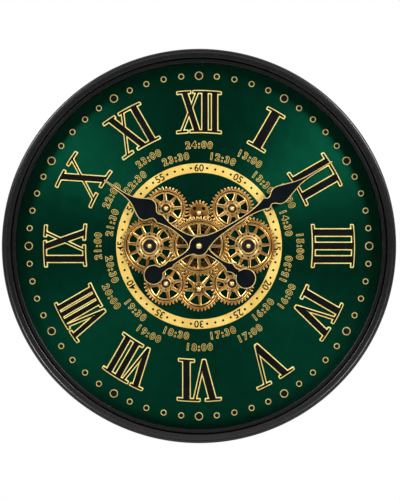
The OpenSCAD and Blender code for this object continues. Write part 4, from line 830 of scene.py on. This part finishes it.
def addCamera(s):
    lens = bpy.data.cameras.new("studioCamera")
    lens.lens, lens.sensor_width, lens.clip_end = s["lens"], s["sensor"], s["far"]
    lens.shift_x, lens.shift_y = s["shiftX"], s["shiftY"]
    camera = bpy.data.objects.new("studioCamera", lens)
    bpy.context.scene.collection.objects.link(camera)
    camera.location = (0, -s["distance"], 0)
    camera.rotation_euler = (math.pi / 2, 0, 0)
    bpy.context.scene.camera = camera


def addSoftbox(name, power, size, place):
    # a round light that faces the clock
    light = bpy.data.lights.new(name, "AREA")
    light.shape, light.size, light.energy = "DISK", size, power
    box = bpy.data.objects.new(name, light)
    bpy.context.scene.collection.objects.link(box)
    box.location = place
    box.rotation_euler = (-Vector(place)).to_track_quat("-Z", "Y").to_euler()


def makeWorld(s):
    world = bpy.data.worlds.new("studioWorld")
    bpy.context.scene.world = world
    world.use_nodes = True
    tree = world.node_tree
    background = tree.nodes["Background"]
    background.inputs["Color"].default_value = (1, 1, 1, 1)
    path = tree.nodes.new("ShaderNodeLightPath").outputs
    seen = mathNode(tree, "ADD", path["Is Camera Ray"], path["Is Glossy Ray"])
    seen = mathNode(tree, "ADD", seen, path["Is Transmission Ray"], clamp=True)
    plain = rangeNode(tree, seen, 0.0, 1.0, s["strength"], 1.0, "LINEAR")
    # metal sees the white behind the clock and above it, and a dimmer room in front of it
    toward = tree.nodes.new("ShaderNodeVectorMath")
    toward.operation = "DOT_PRODUCT"
    toward.inputs[1].default_value = s["white"]
    tree.links.new(tree.nodes.new("ShaderNodeTexCoord").outputs["Generated"], toward.inputs[0])
    room = rangeNode(tree, toward.outputs["Value"], s["roomFrom"], s["roomTo"], s["roomFront"], 1.0)
    shade = rangeNode(tree, path["Is Glossy Ray"], 0.0, 1.0, 1.0, room, "LINEAR")
    tree.links.new(mathNode(tree, "MULTIPLY", plain, shade), background.inputs["Strength"])


def makeFloor(s):
    bm = bmesh.new()
    bmesh.ops.create_grid(bm, x_segments=1, y_segments=1, size=s["half"])
    bmesh.ops.translate(bm, verts=bm.verts, vec=s["place"])
    mesh = bpy.data.meshes.new("floor")
    bm.to_mesh(mesh)
    bm.free()
    material, tree, shader = newMaterial("floorPaper", Roughness=0.8)
    patches = placed(tree, clouds, Vector=objectVector(tree), Scale=3.0)["Mask"]
    paper = mixNode(tree, patches, paint(236, 236, 234), paint(242, 242, 240))
    tree.links.new(paper, shader.inputs["Base Color"])
    mesh.materials.append(material)
    floor = bpy.data.objects.new("floor", mesh)
    bpy.context.scene.collection.objects.link(floor)


addCamera(cameraSizes)
for name, box in softboxes.items():
    addSoftbox(name, **box)
makeWorld(worldSizes)
makeFloor(floorSizes)
